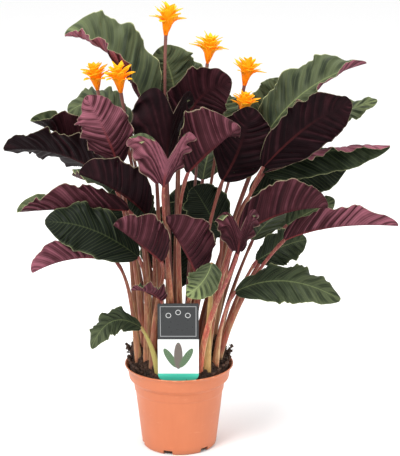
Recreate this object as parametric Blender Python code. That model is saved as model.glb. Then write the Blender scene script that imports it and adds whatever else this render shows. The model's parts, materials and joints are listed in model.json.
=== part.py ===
"""Potted eternal flame calathea: patterned leaves on long stalks and orange blooms, in a plastic nursery pot."""
import math
from collections import namedtuple

import bmesh
import bpy
import numpy as np
from mathutils import Matrix, Vector

# Driving dimensions, in millimetres. Z is up and the pot stands on Z = 0, round the Z axis.
MM = 0.001
POT_HEIGHT = 110.0
POT_RIM_RADIUS = 70.0
POT_BASE_RADIUS = 48.0
POT_WALL = 1.6
POT_SIDES = 28
SEAT_GAP = 0.4
POT_FLOOR = 2.0
DRAIN_COUNT = 6
DRAIN_TURN = math.radians(-107)
SOIL_RIM_Z = 100.0
SOIL_MOUND = 11.0
SOIL_LUMP = 2.2
SOIL_SIDES = 16
SOIL_RINGS = 4
ROOT_DEPTH = 13.0
KNEE = 6.0
BLADE_THICK = 0.9
RIB_HEIGHT = 1.6
BLADE_STEPS = 11
STALK_STEPS = 4
TWIST_START = 0.55
STALK_RADIUS = 2.1
SHEATH_RADIUS = 4.2
SCAPE_RADIUS = 1.7
LABEL_WIDTH = 51.0
LABEL_HEIGHT = 104.0
LABEL_THICK = 0.8
LABEL_X, LABEL_Y = 0.0, -58.5
LABEL_FOOT_Z = 106.0
STAKE_WIDTH = 12.0
LABEL_LEAN = math.radians(4)
STAKE_DEPTH = 15.0
# The bloom's core as (radius, share of its height). A whorl of bracts grows from some of its bands.
CORE = ((2.6, 0.0), (4.4, 0.14), (6.0, 0.32), (6.2, 0.36), (6.2, 0.52), (5.8, 0.56), (4.4, 0.72), (1.0, 1.0))
CORE_SIDES = 10
# Whorls of bracts: the band of the core, its first side, then tip height, tip radius and half width.
WHORLS = ((1, 0, 0.60, 21.0, 5.8), (3, 1, 0.82, 20.0, 5.2), (5, 0, 0.99, 10.0, 3.0))

# Each leaf: where its stalk leaves the soil, the blade's base, middle and tip, its width, the way its upper
# face looks, the fold and curl in degrees of its right and left halves towards that face, how far its edge
# waves, how steeply its stalk starts, how far its edge is drawn forward, the turn of its tip in degrees, and how
# far the tip is notched, as on a leaf that stands like a funnel.
Leaf = namedtuple("Leaf", "root base middle tip width face right left wave rise sweep twist notch", defaults=(0.5, 0.5, 0.0, 0.0))
LEAVES = {
    "01": Leaf((-22, 16), (-36, 32, 423), (-83, 58, 500), (-144, 62, 522), 90, (0.35, -0.85, 0.4), (10, -20), (40, 60), 5, 0.5, 0.5, 25),
    "02": Leaf((-6, 36), (-2, 90, 410), (-9, 110, 459), (-25, 110, 502), 78, (0.1, -0.9, 0.4), (10, -30), (10, -20), 4),
    "03": Leaf((0, 10), (2, 30, 393), (24, 30, 446), (67, 20, 472), 74, (-0.3, 0.85, -0.1), (0, -10), (0, -40), 4),
    "04": Leaf((-12, -6), (-15, -40, 352), (-12, -50, 399), (-5, -55, 445), 104, (0.1, 0.95, 0.15), (10, 10), (60, 20), 5, 0.5, 0.6, 0, 1),
    "05": Leaf((-6, -33), (-16, -115, 366), (-13, -122, 386), (-10, -130, 405), 100, (0.15, 0.95, 0.1), (5, 10), (55, 25), 4, 0.6, 0.55, 0, 1),
    "06": Leaf((-43, -12), (-72, -40, 377), (-88, -52, 423), (-111, -40, 463), 62, (0.25, 0.9, 0.1), (0, 10), (10, 20), 5),
    "07": Leaf((-42, 6), (-84, 20, 365), (-132, 30, 394), (-187, 30, 420), 74, (0, 0.9, 0.45), (80, 20), (0, 10), 4, 0.5, 0.5, -60),
    "08": Leaf((-34, 26), (-67, 85, 378), (-103, 100, 426), (-145, 100, 417), 66, (0, -0.6, 0.8), (0, -20), (0, -20), 4),
    "09": Leaf((-52, -4), (-79, 0, 344), (-146, 10, 381), (-220, 20, 384), 76, (0, 0.75, 0.65), (20, 10), (10, -10), 4),
    "10": Leaf((-31, -5), (-36, -70, 323), (-74, -85, 358), (-118, -80, 376), 76, (0, 0.95, 0.3), (90, 20), (0, 10), 4),
    "11": Leaf((-35, -20), (-58, -50, 324), (-125, -60, 329), (-196, -60, 324), 64, (0, 0.9, 0.4), (70, 20), (0, 10), 4, 0.5, 0.5, -60),
    "12": Leaf((-40, -31), (-46, -70, 269), (-102, -90, 310), (-158, -100, 322), 62, (0, -0.75, 0.65), (0, -10), (0, -20), 5),
    "13": Leaf((-50, -22), (-74, -50, 258), (-125, -70, 269), (-178, -70, 250), 62, (0, 0.9, 0.4), (70, 20), (0, 10), 4),
    "14": Leaf((-33, -41), (-18, -88, 269), (-44, -105, 296), (-76, -100, 319), 76, (0, 0.95, 0.3), (80, 20), (0, 10), 4, 0.85),
    "15": Leaf((4, -42), (23, -88, 253), (8, -98, 287), (-17, -80, 323), 80, (0, 1, 0), (80, 20), (0, 10), 4, 0.9),
    "16": Leaf((25, -45), (71, -120, 286), (73, -125, 303), (74, -130, 320), 60, (0.1, 0.95, 0.1), (10, 10), (40, 25), 3, 0.6, 0.8, 0, 1),
    "17": Leaf((2, -24), (11, -70, 374), (41, -75, 404), (75, -70, 432), 104, (0, 0.95, 0.2), (0, 0), (85, 10), 5, 0.5, 0.5, -50),
    "18": Leaf((15, -8), (54, 0, 348), (77, 10, 392), (89, 20, 440), 72, (0, 0.95, 0.2), (0, -20), (0, -20), 5),
    "19": Leaf((27, 17), (106, 40, 391), (159, 40, 455), (235, 30, 493), 74, (-0.2, -0.85, 0.4), (40, 40), (0, -20), 5, 0.5, 0.5, -50),
    "20": Leaf((31, -12), (103, -30, 372), (161, -30, 427), (212, -30, 452), 66, (0, 0.9, 0.3), (0, -10), (0, -20), 4),
    "21": Leaf((38, 38), (157, 90, 392), (209, 100, 416), (258, 100, 434), 38, (0, -0.5, 0.85), (0, -10), (0, -10), 4),
    "22": Leaf((40, 4), (105, 25, 352), (185, 25, 381), (266, 15, 391), 56, (0, -0.8, 0.55), (0, -10), (85, 60), 4, 0.5, 0.5, 20),
    "23": Leaf((35, 27), (89, 50, 318), (156, 55, 346), (218, 55, 359), 66, (0, -0.85, 0.5), (0, -10), (0, -10), 4),
    "24": Leaf((34, -28), (75, -80, 302), (128, -90, 331), (180, -90, 337), 80, (0, 0.95, 0.3), (0, 10), (80, 20), 4),
    "25": Leaf((47, -18), (129, -50, 286), (191, -60, 306), (269, -60, 307), 54, (0, 0.9, 0.4), (0, 10), (60, 20), 4),
    "26": Leaf((50, 9), (136, 30, 283), (168, 40, 299), (200, 40, 315), 50, (0, -0.5, 0.85), (0, -10), (0, -10), 4),
    "27": Leaf((50, -5), (97, 0, 244), (131, 0, 264), (162, 0, 273), 46, (0, -0.7, 0.7), (0, -10), (0, -10), 4),
    "28": Leaf((45, -30), (68, -80, 228), (129, -100, 249), (196, -110, 228), 58, (0, -0.55, 0.85), (0, -20), (0, -20), 4),
    "29": Leaf((-24, -49), (-44, -70, 179), (-80, -85, 193), (-106, -90, 159), 38, (-0.2, -0.5, 0.85), (0, -10), (0, -10), 3),
    "30": Leaf((-10, -48), (-20, -64, 212), (-35, -80, 229), (-57, -85, 233), 38, (0, 0.6, 0.8), (25, 20), (0, 10), 4, 0.95),
    "31": Leaf((36, -42), (41, -115, 277), (31, -135, 260), (11, -140, 243), 36, (0, -0.7, 0.7), (0, -10), (0, -10), 3, 0.6),
    "32": Leaf((-2, 50), (27, 85, 236), (14, 100, 270), (27, 110, 325), 66, (0, -0.9, 0.2), (0, -10), (0, -10), 4),
    "33": Leaf((10, 48), (50, 90, 383), (53, 110, 419), (56, 130, 441), 64, (0, -0.9, 0.4), (0, -20), (0, -20), 4),
    "34": Leaf((22, 42), (108, 90, 381), (121, 100, 424), (137, 100, 462), 60, (0, -0.9, 0.4), (0, -20), (0, -20), 4),
    "35": Leaf((8, 34), (30, 80, 330), (45, 150, 370), (60, 235, 345), 84, (0, 0, 1), (10, -20), (10, -20), 4),
    "36": Leaf((-22, 42), (-60, 75, 300), (-100, 140, 330), (-130, 215, 300), 80, (0, 0, 1), (10, -20), (10, -20), 4),
    "37": Leaf((47, 24), (95, 75, 250), (140, 130, 275), (190, 180, 250), 74, (0, 0, 1), (10, -20), (10, -20), 4),
    "38": Leaf((-14, 52), (2, 62, 190), (-4, 84, 240), (-12, 100, 298), 92, (0, -0.95, 0.2), (10, 10), (10, 10), 4),
    "39": Leaf((28, 4), (55, 17, 271), (35, 20, 309), (18, 24, 336), 48, (0.2, -0.9, 0.3), (10, 10), (10, 10), 4),
    "40": Leaf((-28, 36), (-35, 45, 255), (-58, 50, 291), (-86, 50, 326), 56, (-0.2, -0.9, 0.3), (10, 10), (10, 10), 4),
}

# Each bloom: where its stalk leaves the soil, the foot of the bloom, its top, and its turn in degrees.
Bloom = namedtuple("Bloom", "root foot top turn")
BLOOMS = {
    "1": Bloom((-34, 14), (-101, 33, 457), (-106, 30, 495), 10),
    "2": Bloom((-16, 27), (-70, 0, 459), (-75, 0, 500), 50),
    "3": Bloom((-8, 21), (-16, 50, 523), (-10, 50, 566), 20),
    "4": Bloom((6, 22), (36, 60, 486), (42, 60, 528), 80),
    "5": Bloom((17, 27), (83, 60, 458), (90, 60, 498), 0),
    "6": Bloom((15, 12), (82, 35, 422), (85, 35, 459), 40),
}


def clear_scene():
    for obj in list(bpy.data.objects):
        bpy.data.objects.remove(obj)


def material(name, colour, roughness):
    made = bpy.data.materials.new(name)
    made.use_nodes = True
    shader = made.node_tree.nodes["Principled BSDF"]
    shader.inputs["Base Color"].default_value = (*colour, 1.0)
    shader.inputs["Roughness"].default_value = roughness
    return made


def add_object(name, points, faces, finish, smooth=True):
    """A mesh object from points in millimetres."""
    mesh = bpy.data.meshes.new(name)
    mesh.from_pydata([Vector(p) * MM for p in points], [], faces)
    mesh.materials.append(finish)
    if smooth:
        mesh.shade_smooth()
        mesh.set_sharp_from_angle(angle=math.radians(45))
    obj = bpy.data.objects.new(name, mesh)
    bpy.context.scene.collection.objects.link(obj)
    return obj


def unit(v):
    return v / max(np.linalg.norm(v), 1e-9)


def loft(rings):
    """Triangles that join rings of equal length, and close both ends. Each ring runs along the upper face and
    back along the lower one, and both faces are split alike, so a waved blade never crosses itself."""
    count = len(rings[0])
    faces = [tuple(reversed(range(count)))]
    for i in range(len(rings) - 1):
        low, high = i * count, (i + 1) * count
        for j in range(count):
            k = (j + 1) % count
            a, b, c, d = low + j, low + k, high + k, high + j
            upper = j < count // 2
            left = j < count // 4 or j >= count - count // 4 - 1
            if upper == left:
                faces += [(a, b, d), (b, c, d)]
            else:
                faces += [(a, b, c), (a, c, d)]
    top = (len(rings) - 1) * count
    faces.append(tuple(range(top, top + count)))
    return np.concatenate(rings), faces


def blade_profile(t, notch):
    """Half the blade's width along the midrib: rounded at the base, drawn to a point at the tip."""
    rise, fall = 0.5, 0.62 - 0.5 * notch
    peak = rise / (rise + fall)
    return (t**rise * (1 - t) ** fall) / (peak**rise * (1 - peak) ** fall)


def midrib(leaf, t):
    """Point and direction on the curve through the blade's base, middle and tip."""
    base, middle, tip = (np.array(p, float) for p in (leaf.base, leaf.middle, leaf.tip))
    bend = 2 * middle - (base + tip) / 2
    point = (1 - t) ** 2 * base + 2 * t * (1 - t) * bend + t**2 * tip
    along = 2 * (1 - t) * (bend - base) + 2 * t * (tip - bend)
    return point, unit(along)


def blade_point(leaf, t, share):
    """A point of the blade's middle surface. share runs from -1 at the left edge to 1 at the right one."""
    point, along = midrib(leaf, t)
    face = np.array(leaf.face, float)
    up = unit(face - (face @ along) * along)
    across = np.cross(along, up)
    turn = math.radians(leaf.twist) * max(0.0, (t - TWIST_START) / (1 - TWIST_START)) ** 1.5
    up, across = math.cos(turn) * up + math.sin(turn) * across, math.cos(turn) * across - math.sin(turn) * up
    side, reach = math.copysign(1, share), abs(share)
    half = leaf.width / 2 * blade_profile(t, leaf.notch) + STALK_RADIUS * (1 - t)
    fold, curl = leaf.right if side > 0 else leaf.left
    angle = math.radians(fold + curl * reach / 2)
    point = point + half * reach * (side * math.cos(angle) * across + math.sin(angle) * up)
    forward = (1 - leaf.notch) * reach**1.5 + leaf.notch * math.sin(0.85 * math.pi * reach)
    point = point + leaf.sweep * half * forward * (1 - t + t * leaf.notch) * along
    lean = math.radians(fold + curl * reach)
    out = math.cos(lean) * up - side * math.sin(lean) * across
    ripple = math.sin(2 * math.pi * 3.5 * t + (1.9 if side > 0 else 0.4) + leaf.width)
    fade = min(1.0, 5 * t, 4 * (1 - t))
    return point + leaf.wave * reach**2 * ripple * fade * out


def blade_rings(leaf):
    shares = (-1.0, -0.55, 0.0, 0.55, 1.0)
    steps = [0.02 + 0.97 * (i / (BLADE_STEPS - 1)) for i in range(BLADE_STEPS)]
    rings = []
    small = 0.004
    for t in steps:
        upper, lower = [], []
        for share in shares:
            here = blade_point(leaf, t, share)
            on = blade_point(leaf, t + small, share) - blade_point(leaf, t - small, share)
            aside = blade_point(leaf, t, share + small) - blade_point(leaf, t, share - small)
            normal = unit(np.cross(unit(aside), unit(on)))
            rib = RIB_HEIGHT * (1 - 0.75 * t) if share == 0 else 0.0
            upper.append(here + normal * BLADE_THICK / 2)
            lower.append(here - normal * (BLADE_THICK / 2 + rib))
        rings.append(np.array(upper + lower[::-1]))
    return rings


def stalk_start(root, end, rise):
    """Where a stalk meets the soil's surface, and the direction it leaves it in."""
    foot = np.array([*root, soil_height(*root)])
    lean = unit(np.array(end, float) - foot)
    return foot, unit(rise * np.array([0, 0, 1.0]) + (1 - rise) * lean)


def stalk_path(root, end, arrive, rise, steps):
    """Points and directions up a stalk: straight out of the soil, then in a bend to its end."""
    foot, first = stalk_start(root, end, rise)
    end = np.array(end, float)
    knee = foot + first * KNEE
    reach = np.linalg.norm(end - knee)
    out = knee + first * reach * rise * 0.8
    into = end - unit(0.5 * arrive + 0.5 * unit(end - knee)) * reach * 0.22
    path = [(foot - first * ROOT_DEPTH, first)]
    for i in range(steps):
        t = i / (steps - 1)
        s = 1 - t
        point = s**3 * knee + 3 * s * s * t * out + 3 * s * t * t * into + t**3 * end
        path.append((point, unit(s * s * (out - knee) + 2 * s * t * (into - out) + t * t * (end - into))))
    return path


def stalk_rings(leaf, count):
    """Rings of the leaf stalk, from its foot in the soil to just under the blade."""
    base, along = midrib(leaf, 0.0)
    face = np.array(leaf.face, float)
    rings = []
    path = stalk_path(leaf.root, base - along * 2.0, along, leaf.rise, STALK_STEPS)
    for i, (centre, ahead) in enumerate(path):
        up = unit(face - (face @ ahead) * ahead)
        across = np.cross(ahead, up)
        radius = STALK_RADIUS + (SHEATH_RADIUS - STALK_RADIUS) * (1 - i / STALK_STEPS) ** 2
        ring = []
        for j in range(count):
            turn = math.pi * (1 - (j + 0.5) / (count / 2))
            ring.append(centre + radius * (math.cos(turn) * across + math.sin(turn) * up))
        rings.append(np.array(ring))
    return rings


def make_leaf(name, leaf, finish):
    blade = blade_rings(leaf)
    points, faces = loft(stalk_rings(leaf, len(blade[0])) + blade)
    return add_object(name, points, faces, finish)


def make_scape(name, bloom, finish):
    """The bare stalk under a bloom. It ends a hair below the bloom's flat foot."""
    foot, top = np.array(bloom.foot, float), np.array(bloom.top, float)
    axis = unit(top - foot)
    sides = 6
    path = stalk_path(bloom.root, foot - axis * SEAT_GAP, axis, 0.5, STALK_STEPS + 1)
    path[-1] = (path[-1][0], axis)
    rings = []
    for centre, ahead in path:
        across = unit(np.cross(ahead, (0.3, 1.0, 0.1)))
        up = np.cross(ahead, across)
        turns = [2 * math.pi * j / sides for j in range(sides)]
        rings.append(np.array(
            [centre + SCAPE_RADIUS * (math.cos(a) * across + math.sin(a) * up) for a in turns]
        ))
    points, faces = loft(rings)
    return add_object(name, points, faces, finish)


def make_bloom(name, bloom, finish):
    """A slim core whose sides are drawn out into whorls of pointed bracts."""
    foot, top = np.array(bloom.foot, float), np.array(bloom.top, float)
    height = float(np.linalg.norm(top - foot))
    points, faces = [], []
    for radius, share in CORE:
        for j in range(CORE_SIDES):
            turn = 2 * math.pi * j / CORE_SIDES
            points.append((radius * math.cos(turn), radius * math.sin(turn), share * height))
    faces.append(tuple(reversed(range(CORE_SIDES))))
    last = (len(CORE) - 1) * CORE_SIDES
    faces.append(tuple(range(last, last + CORE_SIDES)))
    whorls = {band: (first, up, reach, half) for band, first, up, reach, half in WHORLS}
    for band in range(len(CORE) - 1):
        for j in range(CORE_SIDES):
            k = (j + 1) % CORE_SIDES
            low, high = band * CORE_SIDES, (band + 1) * CORE_SIDES
            patch = (low + j, low + k, high + k, high + j)
            if band in whorls and j % 2 == whorls[band][0]:
                add_bract(points, faces, patch, height, math.pi * (2 * j + 1) / CORE_SIDES, *whorls[band][1:])
            else:
                faces += [(patch[0], patch[1], patch[2]), (patch[0], patch[2], patch[3])]
    made = add_object(name, points, faces, finish)
    axis = Vector(top - foot).normalized()
    turn = Matrix.Rotation(math.radians(bloom.turn), 4, "Z")
    made.data.transform(axis.to_track_quat("Z", "Y").to_matrix().to_4x4() @ turn)
    made.data.transform(Matrix.Translation(Vector(foot) * MM))
    return made


def add_bract(points, faces, patch, height, turn, up, reach, half):
    """Draws one patch of the core out into a pointed bract that bends away from the axis."""
    out = np.array([math.cos(turn), math.sin(turn), 0.0])
    side = np.array([-math.sin(turn), math.cos(turn), 0.0])
    start = np.mean([points[i] for i in patch], axis=0)
    tip = out * reach + np.array([0, 0, up * height])
    rise = tip[2] - start[2]
    middle = out * (reach * 0.52) + np.array([0, 0, start[2] + 0.66 * rise])
    lift = unit(np.array([0, 0, 1.0]) - 0.9 * out) * 0.7
    first = len(points)
    points.extend([middle - lift - side * half, middle - lift + side * half,
                   middle + lift + side * half * 0.9, middle + lift - side * half * 0.9])
    points.append(tip)
    for i in range(4):
        k = (i + 1) % 4
        faces.extend([(patch[i], patch[k], first + k), (patch[i], first + k, first + i)])
        faces.append((first + i, first + k, first + 4))


def apply_modifiers(obj):
    graph = bpy.context.evaluated_depsgraph_get()
    mesh = bpy.data.meshes.new_from_object(obj.evaluated_get(graph))
    obj.modifiers.clear()
    obj.data = mesh


def turned(name, profile, sides, finish):
    """A closed solid of revolution from (radius, height) points that run from the axis and back to it."""
    points, faces = [], []
    loops = []
    for radius, height in profile:
        if radius == 0:
            loops.append([len(points)])
            points.append((0.0, 0.0, height))
            continue
        loops.append(list(range(len(points), len(points) + sides)))
        for j in range(sides):
            turn = 2 * math.pi * j / sides
            points.append((radius * math.cos(turn), radius * math.sin(turn), height))
    for low, high in zip(loops, loops[1:]):
        for j in range(sides):
            k = (j + 1) % sides
            if len(low) == 1:
                faces.append((low[0], high[k], high[j]))
            elif len(high) == 1:
                faces.append((low[j], low[k], high[0]))
            else:
                faces.append((low[j], low[k], high[k], high[j]))
    return add_object(name, points, faces, finish)


def pot_outline():
    """The pot's outside from its foot to its rim, as (radius, height)."""
    return [
        (POT_BASE_RADIUS - 2.0, 0.0),
        (POT_BASE_RADIUS, 2.0),
        (56.5, 74.0),
        (57.6, 76.0),
        (59.0, 86.0),
        (64.5, 92.0),
        (66.5, 105.0),
        (68.4, 107.5),
        (POT_RIM_RADIUS, POT_HEIGHT - 1.0),
    ]


def cutter(name, centre, size, turn=0.0):
    """A box that cuts, centred on a point in millimetres."""
    bpy.ops.mesh.primitive_cube_add(size=1)
    box = bpy.context.object
    box.name = name
    box.data.transform(Matrix.Diagonal((*[s * MM for s in size], 1.0)))
    box.rotation_euler.z = turn
    box.location = Vector(centre) * MM
    return box


def cut(body, cutters):
    """Cuts every cutter from the body, and removes the cutters."""
    group = bpy.data.collections.new(body.name + "_cuts")
    bpy.context.scene.collection.children.link(group)
    for piece in cutters:
        for owner in list(piece.users_collection):
            owner.objects.unlink(piece)
        group.objects.link(piece)
    hole = body.modifiers.new("holes", "BOOLEAN")
    hole.operation = "DIFFERENCE"
    hole.operand_type = "COLLECTION"
    hole.collection = group
    hole.solver = "EXACT"
    apply_modifiers(body)
    for piece in list(group.objects):
        bpy.data.objects.remove(piece)
    bpy.data.collections.remove(group)


def make_pot(finish):
    outline = pot_outline()
    floor = POT_FLOOR
    inside = [(r - POT_WALL, z) for r, z in outline if z > floor]
    profile = [(0.0, 0.0)] + outline
    profile += [(POT_RIM_RADIUS - 0.6, POT_HEIGHT), (POT_RIM_RADIUS - POT_WALL, POT_HEIGHT - 0.4)]
    profile += inside[::-1][1:]
    profile += [(POT_BASE_RADIUS - POT_WALL + 0.3, floor), (0.0, floor)]
    pot = turned("pot", profile, POT_SIDES, finish)
    notches = []
    for i in range(DRAIN_COUNT):
        turn = DRAIN_TURN + 2 * math.pi * i / DRAIN_COUNT
        centre = (43.5 * math.cos(turn), 43.5 * math.sin(turn), 1.5)
        notches.append(cutter("drain", centre, (13.0, 12.0, 9.0), turn))
    cut(pot, notches)
    return pot


def soil_height(x, y):
    """Height of the potting soil: a low mound with lumps, higher on the left, level at the rim."""
    reach = min(1.0, math.hypot(x, y) / 62.0)
    mound = SOIL_MOUND * (1 - reach**4) * (1 - 0.25 * x / 62.0)
    lump = math.sin(0.21 * x + 1.0) * math.sin(0.17 * y + 0.4) + 0.6 * math.sin(0.4 * x - 0.31 * y)
    return SOIL_RIM_Z + mound + SOIL_LUMP * lump * (1 - reach**6)


def pot_radius_inside(z):
    outline = pot_outline()
    heights = [p[1] for p in outline]
    radii = [p[0] - POT_WALL for p in outline]
    return float(np.interp(z, heights, radii))


def make_soil(finish):
    """The root ball: it fills the pot, with a lumpy top and a plain hole for each stalk."""
    floor = POT_FLOOR + SEAT_GAP
    points = [(0.0, 0.0, floor)]
    loops = []
    outline_heights = [floor, 74.0, 76.0, 86.0, 92.0, SOIL_RIM_Z]
    for z in outline_heights:
        radius = pot_radius_inside(z) - SEAT_GAP - 0.6
        loops.append(soil_loop(points, radius, lambda x, y, z=z: z))
    rim = pot_radius_inside(SOIL_RIM_Z) - SEAT_GAP - 0.6
    for i in range(SOIL_RINGS, 0, -1):
        loops.append(soil_loop(points, rim * i / (SOIL_RINGS + 1), soil_height))
    points.append((0.0, 0.0, soil_height(0, 0)))
    faces = []
    for j in range(SOIL_SIDES):
        k = (j + 1) % SOIL_SIDES
        faces.append((0, loops[0][k], loops[0][j]))
        for low, high in zip(loops, loops[1:]):
            faces += [(low[j], low[k], high[k]), (low[j], high[k], high[j])]
        faces.append((loops[-1][j], loops[-1][k], len(points) - 1))
    soil = add_object("soil", points, faces, finish)
    holes = [stalk_hole(leaf.root, midrib(leaf, 0.0)[0], leaf.rise, SHEATH_RADIUS) for leaf in LEAVES.values()]
    holes += [stalk_hole(bloom.root, bloom.foot, 0.5, SCAPE_RADIUS) for bloom in BLOOMS.values()]
    holes.append(cutter("slot", (LABEL_X, LABEL_Y, 90.0), (STAKE_WIDTH + 1.2, LABEL_THICK + 2.4, 60.0)))
    cut(soil, holes)
    return soil


def soil_loop(points, radius, height):
    first = len(points)
    for j in range(SOIL_SIDES):
        turn = 2 * math.pi * j / SOIL_SIDES
        x, y = radius * math.cos(turn), radius * math.sin(turn)
        points.append((x, y, height(x, y)))
    return list(range(first, first + SOIL_SIDES))


def stalk_hole(root, end, rise, radius):
    """A pin that cuts the hole a stalk stands in, along the line the stalk leaves the soil in."""
    foot, first = stalk_start(root, end, rise)
    low, high = foot - first * (ROOT_DEPTH + SEAT_GAP), foot + first * 30.0
    wide = (radius + SEAT_GAP) / math.cos(math.pi / 6)
    bpy.ops.mesh.primitive_cylinder_add(vertices=6, radius=wide * MM, depth=float(np.linalg.norm(high - low)) * MM)
    pin = bpy.context.object
    pin.name = "hole"
    pin.data.transform(Vector(first).to_track_quat("Z", "Y").to_matrix().to_4x4())
    pin.location = Vector((low + high) / 2) * MM
    return pin


def make_label(finish):
    """A flat stick-in label: a card with cut lower corners above a narrow stake."""
    half, stake = LABEL_WIDTH / 2, STAKE_WIDTH / 2
    outline = [
        (-half + 1.5, LABEL_HEIGHT),
        (-half, LABEL_HEIGHT - 1.5),
        (-half, 12.0),
        (-half + 2.0, 6.0),
        (-half + 7.0, 1.5),
        (-stake - 3.0, 0.0),
        (-stake, -4.0),
        (-stake, -STAKE_DEPTH + 4.0),
        (0.0, -STAKE_DEPTH),
    ]
    outline += [(-x, z) for x, z in outline[-2::-1]]
    mesh = bmesh.new()
    corners = [mesh.verts.new(Vector((LABEL_X + x, LABEL_Y - LABEL_THICK / 2, LABEL_FOOT_Z + z)) * MM)
               for x, z in outline]
    card = mesh.faces.new(corners)
    made = bmesh.ops.extrude_face_region(mesh, geom=[card])
    moved = [v for v in made["geom"] if isinstance(v, bmesh.types.BMVert)]
    bmesh.ops.translate(mesh, verts=moved, vec=(0, LABEL_THICK * MM, 0))
    bmesh.ops.recalc_face_normals(mesh, faces=mesh.faces)
    foot = Vector((0, LABEL_Y, LABEL_FOOT_Z)) * MM
    bmesh.ops.rotate(mesh, verts=mesh.verts, cent=foot, matrix=Matrix.Rotation(LABEL_LEAN, 3, "X"))
    data = bpy.data.meshes.new("plant_label")
    mesh.to_mesh(data)
    mesh.free()
    data.materials.append(finish)
    label = bpy.data.objects.new("plant_label", data)
    bpy.context.scene.collection.objects.link(label)
    return label


def main():
    clear_scene()
    leaf_finish = material("leaf", (0.10, 0.05, 0.05), 0.5)
    bloom_finish = material("bloom", (1.0, 0.33, 0.01), 0.5)
    scape_finish = material("scape", (0.30, 0.07, 0.04), 0.5)
    pot_finish = material("pot", (0.72, 0.27, 0.13), 0.45)
    soil_finish = material("soil", (0.035, 0.02, 0.012), 0.95)
    label_finish = material("label", (0.8, 0.8, 0.78), 0.35)
    make_pot(pot_finish)
    make_soil(soil_finish)
    make_label(label_finish)
    for number, leaf in LEAVES.items():
        make_leaf("leaf_" + number, leaf, leaf_finish)
    for number, bloom in BLOOMS.items():
        make_scape("scape_" + number, bloom, scape_finish)
        make_bloom("bloom_" + number, bloom, bloom_finish)


main()
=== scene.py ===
# Eternal flame calathea in its nursery pot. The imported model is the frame: each piece here replaces one of
# its solids, apart from the loose crumbs, clods and fibres on the soil.
import json
import math
import random
from collections import namedtuple

import bmesh
import bpy
import numpy as np
from mathutils import Matrix, Vector, noise

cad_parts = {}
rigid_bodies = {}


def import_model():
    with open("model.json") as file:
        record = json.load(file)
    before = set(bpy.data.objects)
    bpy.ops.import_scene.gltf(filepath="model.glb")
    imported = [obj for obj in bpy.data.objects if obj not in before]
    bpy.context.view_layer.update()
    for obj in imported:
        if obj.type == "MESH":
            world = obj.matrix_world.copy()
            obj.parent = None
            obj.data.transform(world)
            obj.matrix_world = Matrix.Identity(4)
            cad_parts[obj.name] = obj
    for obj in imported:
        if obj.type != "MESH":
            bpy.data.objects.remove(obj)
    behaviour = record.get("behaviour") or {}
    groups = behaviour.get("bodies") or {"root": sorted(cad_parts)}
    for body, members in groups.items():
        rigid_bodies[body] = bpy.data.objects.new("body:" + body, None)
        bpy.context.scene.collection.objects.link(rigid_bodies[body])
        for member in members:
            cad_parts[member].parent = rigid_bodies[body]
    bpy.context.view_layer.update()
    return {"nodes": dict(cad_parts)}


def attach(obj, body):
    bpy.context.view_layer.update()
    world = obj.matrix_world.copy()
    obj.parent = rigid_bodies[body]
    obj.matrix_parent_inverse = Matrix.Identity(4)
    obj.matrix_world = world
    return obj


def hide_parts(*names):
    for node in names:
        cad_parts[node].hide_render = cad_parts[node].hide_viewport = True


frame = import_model()
print("frame loaded:", len(frame["nodes"]), "solids")
mm = 0.001
fullTurn = 2 * math.pi


class Wire:  # an output of a node that can stand in a Python expression
    def __init__(self, graph, socket):
        self.graph, self.socket = graph, socket

    def __rsub__(self, other):
        return self.graph.maths("SUBTRACT", other, self)

    def step(self, low, high):  # 0 below low, 1 above high, smooth between
        values = {"Value": self, "From Min": low, "From Max": high}
        return self.graph.add("ShaderNodeMapRange", values, "Result", interpolation_type="SMOOTHSTEP")

    def drop(self, low, high):  # 1 below low, 0 above high
        return 1.0 - self.step(low, high)


def mathsMethod(operation):
    return lambda *values: values[0].graph.maths(operation, *values)


for name, operation in {
    "__add__": "ADD", "__sub__": "SUBTRACT", "__mul__": "MULTIPLY", "__truediv__": "DIVIDE",
    "__pow__": "POWER", "__abs__": "ABSOLUTE", "sine": "SINE", "least": "MINIMUM", "most": "MAXIMUM",
}.items():
    setattr(Wire, name, mathsMethod(operation))


class Graph:  # a node tree, in which each value given to a node is a wire or the socket's own value
    def add(self, kind, values=None, out=0, **settings):
        node = self.tree.nodes.new(kind)
        for name, value in settings.items():
            setattr(node, name, value)
        for name, value in (values or {}).items():
            for one in value if isinstance(value, list) else [value]:
                self.feed(node.inputs[name], one)
        return Wire(self, node.outputs[out])

    def maths(self, operation, *values):
        return self.add("ShaderNodeMath", dict(enumerate(values)), operation=operation)

    def feed(self, socket, value):
        if isinstance(value, Wire):
            self.tree.links.new(value.socket, socket)
        elif isinstance(value, tuple) and len(value) == 3 and socket.type == "RGBA":
            socket.default_value = (*value, 1.0)
        else:
            socket.default_value = value


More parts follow.
